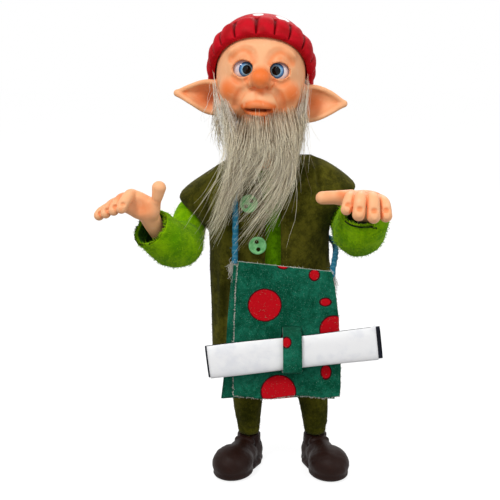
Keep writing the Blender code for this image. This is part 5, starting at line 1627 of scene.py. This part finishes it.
@dataclass
class Vest:
    """Long felt vest of two fronts and a back, with its two buttons."""

    outline: tuple = (
        (68.8, -21.0, 62.0), (85.0, -21.1, 62.2), (108.0, -21.3, 62.0), (142.0, -22.4, 56.5),
                      (162.0, -22.6, 56.0),
        (169.0, -31.0, 58.5), (177.0, -39.5, 63.5), (184.5, -42.7, 69.0), (191.0, -36.0, 73.8),
                      (197.0, -27.0, 68.0),
        (203.0, -18.0, 59.6), (207.0, -11.8, 53.0), (209.6, -7.0, 47.0), (210.6, -5.0, 41.0))
    depth: tuple = ((68.8, 24.5), (142.0, 25.2), (169.0, 27.0), (184.5, 26.2), (191.0, 23.5), (197.0, 17.8),
                    (203.0, 15.0), (207.5, 11.5))
    opening_right: tuple = ((68.8, 13.0), (176.0, 14.2), (190.0, 11.7), (203.0, 6.6), (207.5, -2.0))
    opening_left: tuple = ((68.8, 25.0), (176.0, 23.6), (190.0, 25.0), (203.0, 30.0), (207.5, 37.0))
    power: float = 3.2
    felt: float = 1.3
    inside: float = 5.0
    middle: float = 18.0
    arm_low: float = 158.0
    arm_high: float = 188.0
    arm_open: float = 17.8
    creases: tuple = (((-23.6, 197.0), (-22.2, 163.0), 1.7), ((-30.0, 190.0), (-25.0, 172.0), 0.8),
                      ((46.5, 210.0), (49.5, 182.0), 1.7), ((-10.0, 150.0), (-14.0, 76.0), 0.8),
                      ((36.0, 200.0), (38.0, 176.0), 0.7), ((-17.0, 160.0), (-18.5, 90.0), 0.6))
    buttons: tuple = (("upper", 3.4, 182.5, 45.0), ("lower", 9.0, 155.3, 102.0))

    def ring(self, height: np.ndarray, angle: np.ndarray) -> np.ndarray:
        """Points round the vest: angle 0 at the left side, a quarter turn in front."""
        body = read(BODY, height, 2) + self.inside
        right = np.maximum(self.middle - read(self.outline, height, 1, 2.0), body)
        left = np.maximum(read(self.outline, height, 2, 2.0) - self.middle, body)
        deep = np.maximum(read(self.depth, height, 1, 2.0), read(BODY, height, 3) + self.inside)
        x, y = oval(angle, np.where(np.cos(angle) > 0.0, left, right), deep, self.power)
        fade = np.clip((200.0 - height) / 40.0, 0.0, 1.0)
        wave = np.sin(6.0 * angle + 0.09 * height) * fade
        return np.stack((self.middle + x, y * (1.0 + wave / 25.0), height), -1)

    def angle_at(self, height: np.ndarray, x: np.ndarray) -> np.ndarray:
        """The angle at which the vest reaches an x in front."""
        low, high = np.zeros_like(height), np.full_like(height, math.pi)
        for _ in range(26):
            angle = (low + high) / 2.0
            past = self.ring(height, angle)[..., 0] > x
            low, high = np.where(past, angle, low), np.where(past, high, angle)
        return low

    def gap(self, height: np.ndarray) -> np.ndarray:
        """How far the panels part at the side, as an angle."""
        share = np.clip((height - self.arm_low) / (self.arm_high - self.arm_low), 0.0, 1.0)
        half = 0.5 + self.arm_open * np.sin(math.pi * share)
        return (half / read(self.depth, height, 1, 2.0)) ** (self.power / 2.0)

    def _fall(self, points: np.ndarray, normal: np.ndarray, seed: int) -> tuple[np.ndarray, np.ndarray]:
        """Press creases and soft waves into a panel, and give the painted shade along its creases."""
        hollow_shade = np.zeros(len(points))
        rise = 0.32 * ripple(points, 26.0, seed) * np.clip((204.0 - points[:, 2]) / 30.0, 0.0, 1.0)
        front = np.clip(-normal[:, 1] * 2.0, 0.0, 1.0)
        for start, end, depth in self.creases:
            a, b = np.array(start), np.array(end)
            offset = points[:, (0, 2)] - a
            share = np.clip(offset @ (b - a) / ((b - a) @ (b - a)), 0.0, 1.0)
            away = offset - share[:, None] * (b - a)
            reach = np.linalg.norm(away, axis=1)
            ends = np.sin(math.pi * np.clip(share, 0.04, 0.96))
            swell = 0.45 * np.exp(-((reach - 3.0) / 1.6) ** 2) - np.exp(-(reach / 1.5) ** 2)
            rise += front * ends * depth * swell
            # Painted shade along the creases.
            hollow_shade = np.maximum(hollow_shade, front * ends * min(depth, 1.4) * 0.55 * np.exp(-(reach / 1.4) ** 2))
        return points + normal * rise[:, None], hollow_shade

    def _panel(self, name: str, start: Callable, end: Callable, columns: int, seed: int) -> tuple:
        """One panel between two angles given by height."""
        rows = 90
        height = np.linspace(68.8, 210.6, rows)
        low, high = start(height), end(height)
        share = np.linspace(0.0, 1.0, columns)
        angle = low[:, None] * (1.0 - share) + high[:, None] * share
        tall = np.repeat(height[:, None], columns, 1)
        grid = self.ring(tall, angle)
        neck = 1.0 - smoothstep(10.0, 17.0, np.abs(grid[..., 0] - 13.2))
        closed = smoothstep(203.0, 210.6, tall) * (1.0 - neck)
        grid[..., 1] *= 1.0 - 0.90 * closed
        normal = -grid_normals(grid).reshape(-1, 3)
        middle = np.array((self.middle, 0.0, 0.0))
        out = np.sign(np.einsum("ij,ij->i", normal, (grid.reshape(-1, 3) - middle) * (1, 1, 0)))
        points, hollow_shade = self._fall(grid.reshape(-1, 3), normal * out[:, None], seed)
        hem = smoothstep(6.0, 0.0, points[:, 2] - 68.8)
        points[:, 2] += hem * 0.7 * np.sin(points[:, 0] * 0.35 + seed)
        faces = grid_faces(rows, columns)
        panel = make_piece("felt_" + name, points, faces, VEST_FELT, (name,),
                           {"hollow_shade": hollow_shade})
        thicken(panel, self.felt)
        return points.reshape(rows, columns, 3), faces

    def build(self, tubes: TubeTree) -> None:
        """Cut the panels, stitch the edges and sew on the buttons."""
        def side_right(height: np.ndarray) -> np.ndarray:
            """The right front's edge at the side."""
            return math.pi - self.gap(height)
        right, faces = self._panel("vest_front_right", side_right,
                                   lambda h: self.angle_at(h, read(self.opening_right, h)), 58, 71)
        left, left_faces = self._panel("vest_front_left",
                                       lambda h: self.angle_at(h, read(self.opening_left, h)),
                                       self.gap, 54, 72)
        back, back_faces = self._panel("vest_back", lambda h: -self.gap(h), lambda h: self.gap(h) - math.pi,
                                       84, 73)
        for name, grid, quads, seed in (("front_right", right, faces, 74),
                                        ("front_left", left, left_faces, 75),
                                        ("back", back, back_faces, 76)):
            tubes.grow("vest_nap_" + name,
                       *pile(grid.reshape(-1, 3), quads, 850, 1.0, 0.07, (0, 0, -0.4), seed),
                       FELT_PILE, "olive_felt")
        self._stitches(tubes, left, ((2, 0.0), (4, 0.0)), "front_left")
        self._stitches(tubes, right, ((-3, 0.0),), "front_right")
        for name, x, height, turn in self.buttons:
            self._button(name, x, height, turn)

    def _stitches(self, tubes: TubeTree, grid: np.ndarray, lines: Sequence[tuple[int, float]],
                  name: str) -> None:
        """Machine stitches along a panel's front edge."""
        threads = []
        for column, _ in lines:
            path = grid[3:-6, column] + (0.0, -0.10, 0.0)
            gone = np.concatenate(([0.0], np.cumsum(np.linalg.norm(np.diff(path, axis=0), axis=1))))
            for start in np.arange(0.0, gone[-1] - 2.0, 2.3):
                at = np.linspace(start, start + 1.6, 4)
                stitch = np.stack([np.interp(at, gone, path[:, i]) for i in range(3)], 1)
                stitch[(0, -1), 1] += 0.35
                threads.append(stitch)
        tubes.grow("stitches_" + name, threads, [np.array((0.10, 0.17, 0.17, 0.10))] * len(threads),
                   np.linspace(0, 1, len(threads)), THREAD, "olive_felt", sides=5)

    def _button(self, name: str, x: float, height: float, turn: float) -> None:
        """One two-hole button with a raised rim."""
        near = np.array((x - 5.7, x, x + 5.7))
        tall = np.full(3, height)
        face = float(self.ring(tall, self.angle_at(tall, near))[:, 1].min())
        form = ClayForm((-6.4, -1.8, -6.4), (6.4, 1.8, 6.4), 0.23)

        def disc(p: np.ndarray) -> np.ndarray:
            """A disc with rounded edges."""
            across = np.linalg.norm(p[..., (0, 2)], axis=-1) - 5.7 + 0.5
            thick = np.abs(p[..., 1]) - 1.0 + 0.5
            return np.hypot(np.maximum(across, 0),
                            np.maximum(thick, 0)) + np.minimum(np.maximum(across, thick), 0) - 0.5

        def dish(p: np.ndarray) -> np.ndarray:
            """The shallow dish inside the rim."""
            return np.maximum(np.linalg.norm(p[..., (0, 2)], axis=-1) - 4.15, p[..., 1] + 0.62)
        form.solid((-7, -2, -7), (7, 2, 7), disc, blend=0.1)
        form.solid((-7, -2, -7), (7, 2, 7), dish, blend=0.35, carve=True)
        for side in (-1.0, 1.0):
            form.limb(((side * 2.45, -2.5, 0.0), (side * 2.45, 2.5, 0.0)), (1.25, 1.25), blend=0.25,
                      carve=True)
        points, faces = form.surface()
        hole = np.minimum(*[np.hypot(points[:, 0] - side * 2.45, points[:, 2]) for side in (-1.0, 1.0)])
        # Painted shade in the thread holes and the dish.
        numbers = {"hollow_shade": np.where((hole < 1.35) & (points[:, 1] > -0.55), 1.0,
                                      form.hollow_shade(points, 0.9) * 0.7)}
        angle = math.radians(-turn)
        spin = np.array(Euler((0.0, angle, 0.0)).to_matrix())
        points = points @ spin.T + (x, face - 0.3 - 1.0 - 0.4, height)
        make_piece("sewn_button_" + name, points, faces, ButtonPlastic("button_plastic"),
                   ("button_" + name,), numbers, 60.0)


# Legs and boots

@dataclass
class Legs:
    """Stuffed trousers and clay boots."""

    hips: tuple = ((6.0, 0.0, 84.0), (34.5, 0.0, 84.0))
    knees: tuple = ((3.0, -3.0, 50.0), (46.2, -3.0, 50.0))
    ankles: tuple = ((3.5, -2.0, 21.0), (48.7, -2.0, 21.0))
    turns: tuple[float, float] = (-24.0, 17.0)
    waist: float = 101.5
    boot_top: float = 20.6

    def build(self, tubes: TubeTree) -> None:
        """Make the trousers and both boots."""
        form = ClayForm((-16.0, -24.0, 16.0), (62.0, 24.0, 106.0), 1.1)
        form.ball((19.0, 0.0, 93.5), (30.0, 19.5, 23.0), blend=3.0)
        for hip, knee, ankle in zip(self.hips, self.knees, self.ankles):
            form.limb((hip, knee, ankle, (ankle[0], ankle[1], 14.0)), (15.0, 10.5, 6.8, 6.8), blend=3.0,
                      steps=6)
            form.limb(((ankle[0] - 5.0, ankle[1] - 4.0, 24.5), (ankle[0], ankle[1] - 7.0, 23.2),
                       (ankle[0] + 5.0, ankle[1] - 4.0, 24.6)), (1.6, 2.0, 1.6), blend=1.6)
            form.limb(((ankle[0] - 6.0, ankle[1] - 3.0, 30.5), (ankle[0] + 1.0, ankle[1] - 7.4, 28.6),
                       (ankle[0] + 6.5, ankle[1] - 2.0, 29.4)), (1.1, 1.5, 1.1), blend=1.8)
        z = form.axes[2][None, None, :]
        form.field = np.maximum(form.field, np.maximum(z - self.waist, self.boot_top + 0.4 - z))
        points, faces = form.surface()
        normal = form.normals(points)
        fade = smoothstep(21.0, 30.0, points[:, 2])
        points += normal * (0.42 * ripple(points * (1.0, 1.0, 0.6), 13.0, 81) * fade)[:, None]
        # The stored number is painted shade in the folds and hollows.
        cloth = make_piece("stuffed_trousers", points, faces, TROUSER_FELT, ("trousers",),
                           {"hollow_shade": form.hollow_shade(points, 2.0)}, 70.0)
        shown = faces[points[faces[:, 0], 2] < 72.0]
        tubes.grow("trouser_nap", *pile(points, shown, 1100, 0.9, 0.075, (0.0, 0.0, -0.4), 82), FELT_PILE,
                   "trouser_cloth")
        for name, ankle, turn in zip(("right", "left"), self.ankles, self.turns):
            self._boot(name, ankle, turn)

    def _boot(self, name: str, ankle: Point, turn: float) -> None:
        """One round-toed boot with its notched welt, modelled at its own origin."""
        form = ClayForm((-17.0, -45.0, -1.0), (17.0, 14.0, 24.0), 0.72)
        form.ball((0.0, -26.2, 9.0), (13.2, 15.4, 11.4), blend=2.0)
        form.ball((0.0, -11.3, 9.5), (9.5, 13.0, 10.0), blend=2.5)
        form.ball((0.0, 1.0, 8.0), (8.8, 9.5, 10.0), blend=2.5)
        form.limb(((0.0, 0.0, 8.0), (0.0, 0.0, 24.0)), (8.0, 7.8), blend=2.0)
        form.ball((0.0, -7.5, 17.2), (7.2, 3.6, 4.0), (20.0, 0.0, 0.0), blend=1.0)
        form.limb(((-6.8, -6.6, 14.2), (0.0, -10.8, 13.2), (6.8, -6.6, 14.2)), (0.7, 0.9, 0.7), blend=1.0,
                  carve=True)
        form.limb(((-7.6, 2.0, 13.4), (0.0, 9.2, 13.0), (7.6, 2.0, 13.4)), (0.6, 0.6, 0.6), blend=1.0,
                  carve=True)
        form.ball((0.0, -25.5, 3.0), (12.9, 15.0, 4.6), blend=1.5)
        form.ball((0.0, 0.0, 2.6), (9.3, 10.4, 4.2), blend=1.5)
        form.limb(((-8.0, -13.0, 2.6), (-8.2, -4.0, 2.6)), (2.6, 2.6), blend=2.0)
        form.limb(((8.0, -13.0, 2.6), (8.2, -4.0, 2.6)), (2.6, 2.6), blend=2.0)
        for step in range(22):
            angle = math.pi * (step + 0.5) / 22
            spot = (13.3 * math.cos(angle), -25.5 - 15.4 * math.sin(angle))
            form.limb(((spot[0], spot[1], 2.0), (spot[0] * 1.01, -25.5 + (spot[1] + 25.5) * 1.01, 5.2)),
                      (0.5, 0.4),
                      blend=0.6, carve=True)
        z = form.axes[2][None, None, :]
        form.field = np.maximum(form.field, np.maximum(z - self.boot_top, 0.02 - z))
        points, faces = form.surface()
        points[:, 2] = np.maximum(points[:, 2], 0.0)
        normal = form.normals(points)
        soft = smoothstep(0.5, 3.0, points[:, 2]) * smoothstep(20.6, 18.0, points[:, 2])
        points += normal * (0.16 * ripple(points, 6.0, 91) * soft)[:, None]
        # Painted shade in the boot's hollows, notches and grooves.
        hollow_shade = form.hollow_shade(points, 1.6)
        spin = np.array(Euler((0.0, 0.0, math.radians(turn))).to_matrix())
        placed = points @ spin.T + (ankle[0], ankle[1], 0.0)
        make_piece("clay_boot_" + name, placed, faces, BOOT_CLAY, ("boot_" + name,),
                   {"hollow_shade": hollow_shade})


# Bag and scroll

@dataclass
class Bag:
    """Dotted felt bag: a pocket and a flap, slit for the scroll."""

    front: float = 34.5
    felt: float = 1.6
    top: tuple = (-3.2, 146.8, 55.6, 140.3)
    low: tuple = (-6.2, 57.0, 62.0, 58.0)
    pouch_top: tuple = (-6.6, 144.0, 54.0, 138.5)
    pouch_low: tuple = (-13.5, 55.5, 59.0, 56.0)
    slot: tuple[float, float] = (24.5, 37.2)
    ripple: float = 1.0
    swell: float = 2.8
    dots: tuple = ((13.9, 118.6, 10.6, 10.6), (22.9, 61.2, 11.3, 11.3), (58.0, 102.6, 9.0, 9.2),
                   (45.2, 138.2, 3.4, 3.7),
                   (52.4, 120.6, 3.7, 2.7), (27.5, 97.2, 3.0, 3.6), (53.4, 74.4, 3.4, 4.9),
                   (25.6, 145.6, 4.4, 3.6))
    scroll_ends: tuple = ((-23.2, 82.9), (87.2, 95.8))
    scroll_height: float = 20.5
    scroll_thick: float = 6.2
    card: float = 0.9
    sheet: float = 0.5

    def scroll_depth(self) -> float:
        """How far in front of the middle plane the scroll's own middle lies."""
        return self.front + self.ripple + self.felt + 0.6 + self.scroll_thick / 2.0 + self.sheet

    def build(self, tubes: TubeTree) -> None:
        """Make the pocket, the flap, the scroll and the nap."""
        cloth = DottedFelt("dotted_felt_cloth", srgb(30, 118, 92), srgb(2, 72, 50), srgb(138, 194, 174),
                           Nap.FELT,
                           0.75, dots=self.dots)
        edge = Cloth("pale_cut_felt", srgb(206, 214, 206), srgb(150, 168, 156), srgb(236, 238, 232))
        self._pouch(cloth, edge)
        points, faces = self._flap(cloth, edge)
        tubes.grow("bag_flap_nap", *pile(points, faces, 1500, 0.9, 0.065, (0.0, 0.0, -0.3), 101), BAG_PILE,
                   "dotted_felt")
        self._edges(tubes, points.reshape(96, -1, 3))
        self._scroll()

    def _edges(self, tubes: TubeTree, grid: np.ndarray) -> None:
        """Pale cut fibres along the flap's hem, sides and top."""
        rng = np.random.default_rng(105)
        fibres = []
        for line, out, count in ((grid[:, 0], (-0.5, 0.0, 0.0), 600), (grid[-1], (0.0, 0.0, -0.5), 560),
                                 (grid[:, -1], (0.4, 0.0, 0.0), 140), (grid[0], (0.0, 0.0, 0.3), 120)):
            pick = rng.integers(0, len(line) - 1, count)
            spot = line[pick] + (line[pick + 1] - line[pick]) * rng.random((count, 1))
            spot = spot + np.array((0.0, 1.0, 0.0)) * rng.random((count, 1)) * self.felt - np.array(out) * 0.4
            drift = rng.normal(scale=0.45, size=(count, 3))
            fibres.append(np.stack((spot, spot + np.array(out) * 0.8 + drift * 0.5 - (0, 0.15, 0),
                                    spot + out + drift), 1))
        lines = list(np.concatenate(fibres))
        tubes.grow("bag_cut_edge_fibres", lines, [np.array((0.14, 0.12, 0.07))] * len(lines),
                   rng.random(len(lines)),
                   WHITE_THREAD, "dotted_felt")

    def _corner(self, top: tuple, low: tuple, u: np.ndarray, v: np.ndarray) -> tuple[np.ndarray, np.ndarray]:
        """Blend four corners in X and Z: u across, v downward."""
        x = (top[0] * (1 - u) + top[2] * u) * (1 - v) + (low[0] * (1 - u) + low[2] * u) * v
        z = (top[1] * (1 - u) + top[3] * u) * (1 - v) + (low[1] * (1 - u) + low[3] * u) * v
        return x, z

    def _wall(self, piece: bpy.types.Object, thickness: float, edge: Finish, offset: float) -> None:
        """Give the felt its thickness with a pale cut rim."""
        piece.data.materials.append(edge.material())
        thicken(piece, thickness, offset, 1)

    def _pouch(self, cloth: Finish, edge: Finish) -> None:
        """The pocket behind the flap."""
        v, u = np.meshgrid(np.linspace(0, 1, 44), np.linspace(0, 1, 36), indexing="ij")
        x, z = self._corner(self.pouch_top, self.pouch_low, u, v)
        x = x + 0.5 * np.sin(v * 9.0 + 1.0) * (0.5 - u) + 4.0 * v * (1.0 - v) * 0.45 * (1.0 - u)
        z = z + 0.6 * np.sin(u * 11.0) * v
        y = np.full_like(x, -self.front + self.ripple + 0.3) + 0.25 * np.sin(u * 7.0 + v * 3.0) * 0.8
        points = np.stack((x, y, z), -1).reshape(-1, 3)
        for name, shift, thickness in (("bag_pocket_front", 0.0, 1.5), ("bag_pocket_back", 2.0, 1.5)):
            nodes = ("bag_pouch",) if shift == 0.0 else ()
            moved = points + (-0.5 * shift, shift, -0.3 * shift)
            piece = make_piece(name, moved, grid_faces(44, 36, flip=True), cloth, nodes)
            self._wall(piece, thickness, edge, -1.0)

    def _flap(self, cloth: Finish, edge: Finish) -> tuple[np.ndarray, list]:
        """The front flap with its strip over the scroll."""
        width = self.low[2] - self.low[0]
        cuts = [(s - self.low[0]) / width for s in self.slot]
        slit = 0.35 / width
        columns = np.concatenate((np.linspace(0.0, cuts[0], 30),
                                  np.linspace(cuts[0] + slit, cuts[1] - slit, 14),
                                  np.linspace(cuts[1], 1.0, 26)))
        drop = (self.top[1] + self.top[3] - self.low[1] - self.low[3]) / 2.0
        level = (self.top[1] + self.top[3]) / 2.0
        ends = self.scroll_ends
        middle = (level - (ends[0][1] + ends[1][1]) / 2.0) / drop
        over = (self.scroll_height / 2.0 + 0.4) / drop
        bulge = self.scroll_depth() + self.scroll_thick / 2.0 + self.sheet + 0.9 - self.front
        slope = 0.34 * bulge / drop
        rows = np.linspace(0.0, 1.0, 96)
        v, u = np.meshgrid(rows, columns, indexing="ij")
        x, z = self._corner(self.top, self.low, u, v)
        swell = self.swell * np.sin(math.pi * v) ** 0.7
        x = x + swell * u - 0.4 * swell * (1.0 - u)
        y = -self.front + 0.5 * self.ripple * np.sin(2.0 * math.pi * (1.3 * u + 0.3)) * v
        strip = (u > cuts[0] + slit / 2) & (u < cuts[1] - slit / 2)
        away = np.abs(v - middle)
        lift = 1.0 - smoothstep(over, over + slope, away)
        y = np.where(strip, y * (1 - lift) + lift * (-self.front - bulge), y)
        flat = np.stack((x, y, z), -1).reshape(-1, 3)
        loose = (1.0 - lift).reshape(-1) if lift.ndim == 2 else 1.0
        flat[:, 1] -= 0.22 * (1.0 + ripple(flat, 16.0, 102)) * np.where(strip.reshape(-1), loose,
                                                                        1.0) * v.reshape(-1)
        hem = smoothstep(0.93, 1.0, v).reshape(-1)
        side = (smoothstep(0.04, 0.0, u) - smoothstep(0.96, 1.0, u)).reshape(-1)
        flat[:, 2] += hem * (0.9 * np.sin(flat[:, 0] * 0.17 + 2.2) + 0.25 * ripple(flat, 7.0, 103))
        flat[:, 0] += side * 0.35 * ripple(flat, 9.0, 104)
        bands = (29, 43)
        reach = over + slope * 0.9

        def slits(row: int, column: int) -> bool:
            """Whether a face lies in a slit."""
            return column in bands and abs((rows[row] + rows[row + 1]) / 2.0 - middle) < reach
        faces = grid_faces(len(rows), len(columns), flip=True, skip=slits)
        piece = make_piece("bag_front_flap", flat, faces, cloth, ("bag_flap",))
        self._wall(piece, self.felt, edge, 1.0)
        front = flat - (0.0, self.felt, 0.0)
        return front, faces

    def _scroll(self) -> None:
        """The card roll and the paper round its front."""
        start, end = np.array(self.scroll_ends[0]), np.array(self.scroll_ends[1])
        lean = math.atan2(end[1] - start[1], end[0] - start[0])
        length = float(np.linalg.norm(end - start))
        depth = self.scroll_depth()

        def roll(angle: np.ndarray, share: np.ndarray, grow: np.ndarray) -> np.ndarray:
            """Points round the roll: angle 0 at its upper edge, a quarter turn in front."""
            tall = self.scroll_height / 2.0 + 0.25 * np.sin(share * 7.0 + 0.6)
            up, back = oval(angle, tall + grow, self.scroll_thick / 2.0 + grow, 3.0)
            along = start[:, None, None] + (end - start)[:, None, None] * share
            return np.stack((along[0] - up * math.sin(lean), -depth + back, along[1] + up * math.cos(lean)),
                            -1)
        turn = np.radians(np.linspace(-54.0, 378.0, 120))
        share = np.linspace(0.0, 1.0, 24)
        s, a = np.meshgrid(share, turn, indexing="ij")
        inward = smoothstep(math.radians(180.0), math.radians(306.0), a) * (self.card + 0.6)
        card = roll(a, s, -inward)
        self._sheet("scroll_card_roll", card, CARD, "scroll_backing", self.card)
        share = np.linspace(1.2 / length, 1.0 - 2.8 / length, 64)
        s, a = np.meshgrid(share, np.radians(np.linspace(22.0, 162.0, 44)), indexing="ij")
        curl = 1.6 * smoothstep(0.965, 1.0, (s - share[0]) / (share[-1] - share[0])) * smoothstep(1.2, 0.3, a)
        paper = roll(a, s, self.sheet + 0.3 + 0.25 * np.abs(np.sin(s * 5.0)) * smoothstep(0.9, 0.3, a) + curl)
        self._sheet("scroll_paper_sheet", paper, SHEET_PAPER, "scroll_paper", self.sheet)

    def _sheet(self, name: str, grid: np.ndarray, finish: Finish, node: str,
               thickness: float) -> None:
        """A bent sheet with its thickness inward."""
        rows, columns, _ = grid.shape
        piece = make_piece(name, grid.reshape(-1, 3), grid_faces(rows, columns), finish, (node,))
        middle = piece.data.polygons[len(piece.data.polygons) // 2]
        if middle.normal.y > 0.0:
            piece.data.flip_normals()
        thicken(piece, thickness)


# Hands

@dataclass
class Hands:
    """Two clay hands."""

    right_fingers: tuple = (
        ((-67.0, -56.0, 192.0), (-70.0, -64.0, 189.5), (-72.2, -66.0, 185.2)),
        ((-71.5, -53.0, 189.5), (-75.2, -61.0, 187.2), (-77.2, -63.0, 183.5)),
        ((-75.5, -50.5, 186.5), (-80.5, -57.5, 184.5), (-82.6, -59.0, 181.2)),
        ((-79.0, -48.0, 183.5), (-85.0, -53.5, 181.5), (-87.2, -55.0, 179.3)))
    left_fingers: tuple = (
        ((64.0, -68.0, 193.0), (62.0, -77.5, 193.0), (60.0, -81.5, 187.0)),
        ((69.5, -70.0, 193.0), (68.0, -81.0, 193.0), (66.8, -85.0, 184.5)),
        ((75.5, -70.0, 192.5), (75.5, -80.5, 192.0), (75.5, -84.5, 183.2)),
        ((81.0, -67.0, 190.5), (82.5, -76.5, 189.5), (83.2, -80.0, 183.0)))
    left_widths: tuple = (3.2, 3.6, 3.8, 3.6)
    wrists: tuple = (((-50.8, -40.2, 164.0), (-45.0, -31.5, 157.0)),
                     ((74.0, -44.0, 177.0), (73.5, -37.0, 169.0)))

    def build(self) -> None:
        """Model both hands."""
        form = ClayForm((-93.0, -70.0, 160.0), (-44.0, -34.0, 203.0), 0.58)
        form.limb(((-51.5, -41.0, 164.8), (-54.5, -45.5, 171.0), (-57.2, -50.0, 178.0)), (5.2, 5.6, 6.2),
                  blend=2.0)
        form.ball((-61.5, -54.5, 184.5), (10.5, 5.2, 8.0), (0.0, 18.0, 0.0), blend=2.5)
        form.ball((-67.0, -55.0, 187.5), (8.5, 5.0, 6.5), (0.0, -25.0, 0.0), blend=2.0)
        form.ball((-54.6, -54.5, 183.0), (4.4, 5.2, 6.4), (0.0, 10.0, 0.0), blend=2.0)
        form.limb(((-55.5, -54.0, 184.0), (-52.0, -57.5, 189.5), (-50.3, -59.0, 196.5)), (4.6, 3.1, 4.3),
                  blend=1.6)
        form.ball((-63.0, -61.0, 185.5), (6.5, 2.4, 4.4), (0.0, 12.0, 0.0), blend=2.4, carve=True)
        knuckles, tips = [], []
        for finger in self.right_fingers:
            form.limb(((-62.5, -52.5, 186.0), *finger), (3.8, 3.7, 3.4, 3.2), blend=0.9, steps=6)
            knuckles.append(finger[0])
            tips.append(finger[2])
        for finger in self.right_fingers:
            a, b = np.array(finger[1]), np.array(finger[2])
            spot = a * 0.55 + b * 0.45 + (0.0, -3.6, 0.6)
            form.ball(tuple(spot), (1.5, 1.1, 1.0), blend=1.2, carve=True)
        spots = [((-60.0, -59.0, 184.0), 8.5, 0.55), ((-52.0, -58.0, 188.5), 4.0, 0.5),
                 ((-67.0, -58.0, 193.0), 5.0, 0.4),
                 ((-74.0, -58.0, 190.0), 6.0, 0.65), ((-80.0, -56.0, 186.5), 5.0, 0.5)]
        self._finish("right", form, spots)
        form = ClayForm((38.0, -92.0, 171.0), (92.0, -38.0, 202.0), 0.58)
        form.limb(((74.2, -44.6, 178.0), (74.0, -53.0, 186.0)), (5.6, 6.8), blend=2.0)
        form.ball((72.5, -61.0, 190.5), (11.5, 11.0, 5.0), blend=2.5)
        form.limb(((64.0, -61.0, 190.5), (54.5, -64.0, 191.5), (47.0, -65.5, 191.5)), (5.4, 4.1, 3.9),
                  blend=2.0)
        for finger, width in zip(self.left_fingers, self.left_widths):
            form.limb(finger, (width, width, width * 1.05), blend=0.7, steps=8)
            a, b = np.array(finger[1]), np.array(finger[2])
            fall = (b - a) / np.linalg.norm(b - a)
            out = np.array((0.0, -1.0, 0.15))
            nail = b + out * (width * 0.90) - fall * 0.4
            form.ball(tuple(nail), (width * 0.62, 0.9, width * 0.66), (-12.0, 0.0, 0.0), blend=0.35)
            dimple = b + out * (width * 1.06) - fall * (width * 0.98)
            form.ball(tuple(dimple), (width * 0.52, 0.8, 1.2), blend=1.3, carve=True)
        spots = [((64.0, -64.0, 194.0), 4.0, 0.5), ((70.0, -66.0, 196.0), 4.5, 0.6),
                 ((75.5, -68.0, 195.5), 5.0, 0.85),
                 ((81.0, -64.0, 193.0), 4.5, 0.7), ((58.0, -66.0, 194.0), 4.5, 0.55),
                 ((50.0, -66.0, 193.0), 5.0, 0.4)]
        # Orange painted shade on the dimples above the nails.
        spots += [((f[1][0] * 0.3 + f[2][0] * 0.7, f[2][1] - 3.2, f[2][2] + 3.9), 2.1,
                   0.6) for f in self.left_fingers]
        self._finish("left", form, spots)

    def _finish(self, name: str, form: ClayForm, spots: list) -> None:
        """Cut the wrist flat, skin the form and colour it."""
        end, before = (np.array(p) for p in self.wrists[0 if name == "right" else 1])
        way = (end - before) / np.linalg.norm(end - before)
        offset = float((end + way * 0.35) @ way)
        x, y, z = form.axes
        height = way[0] * x[:, None, None] + way[1] * y[None, :, None] + way[2] * z[None, None, :]
        form.field = np.maximum(form.field, (offset - height).astype(np.float32))
        points, faces = form.surface()
        # Orange spots, with painted shade on the finger dimples; the dark orange and the last number are
        # painted shade in the creases.
        numbers = {"blush_and_shade": glow_at(points, spots), "deep": form.hollow_shade(points, 1.2) * 0.12,
                   "hollow_shade": form.hollow_shade(points, 1.8) * 0.6}
        make_piece("modelled_hand_" + name, points, faces, SKIN, ("hand_" + name,), numbers,
                   80.0)


def dress_hidden() -> None:
    """Give the nodes inside the clothes their cloth and thread."""
    stuffing = Cloth("calico_cloth", srgb(206, 192, 166), srgb(186, 172, 146), srgb(224, 214, 192),
                     Nap.WOVEN, 0.2)
    wire = Cloth("thread_wrapped_wire", srgb(150, 146, 138), srgb(104, 100, 94), srgb(176, 170, 160),
                 Nap.WOVEN, 0.2)
    for node, finish in (("torso", stuffing), ("arm_right", wire), ("arm_left", wire),
                         ("leg_wire_right", wire),
                         ("leg_wire_left", wire)):
        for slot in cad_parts[node].material_slots:
            slot.material = finish.material()


def main() -> None:
    """Build the stage and the figure, camera and strap first."""
    logging.basicConfig(level=logging.INFO, format="%(name)s %(message)s")
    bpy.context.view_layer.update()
    tubes = TubeTree()
    Stage().build()
    Strap().build(tubes)
    head = Head()
    head.build()
    Cap().build(head)
    Hair().build(tubes, head)
    Sweater().build(tubes)
    Vest().build(tubes)
    Legs().build(tubes)
    Bag().build(tubes)
    Hands().build()
    dress_hidden()


if __name__ == "__main__":
    main()
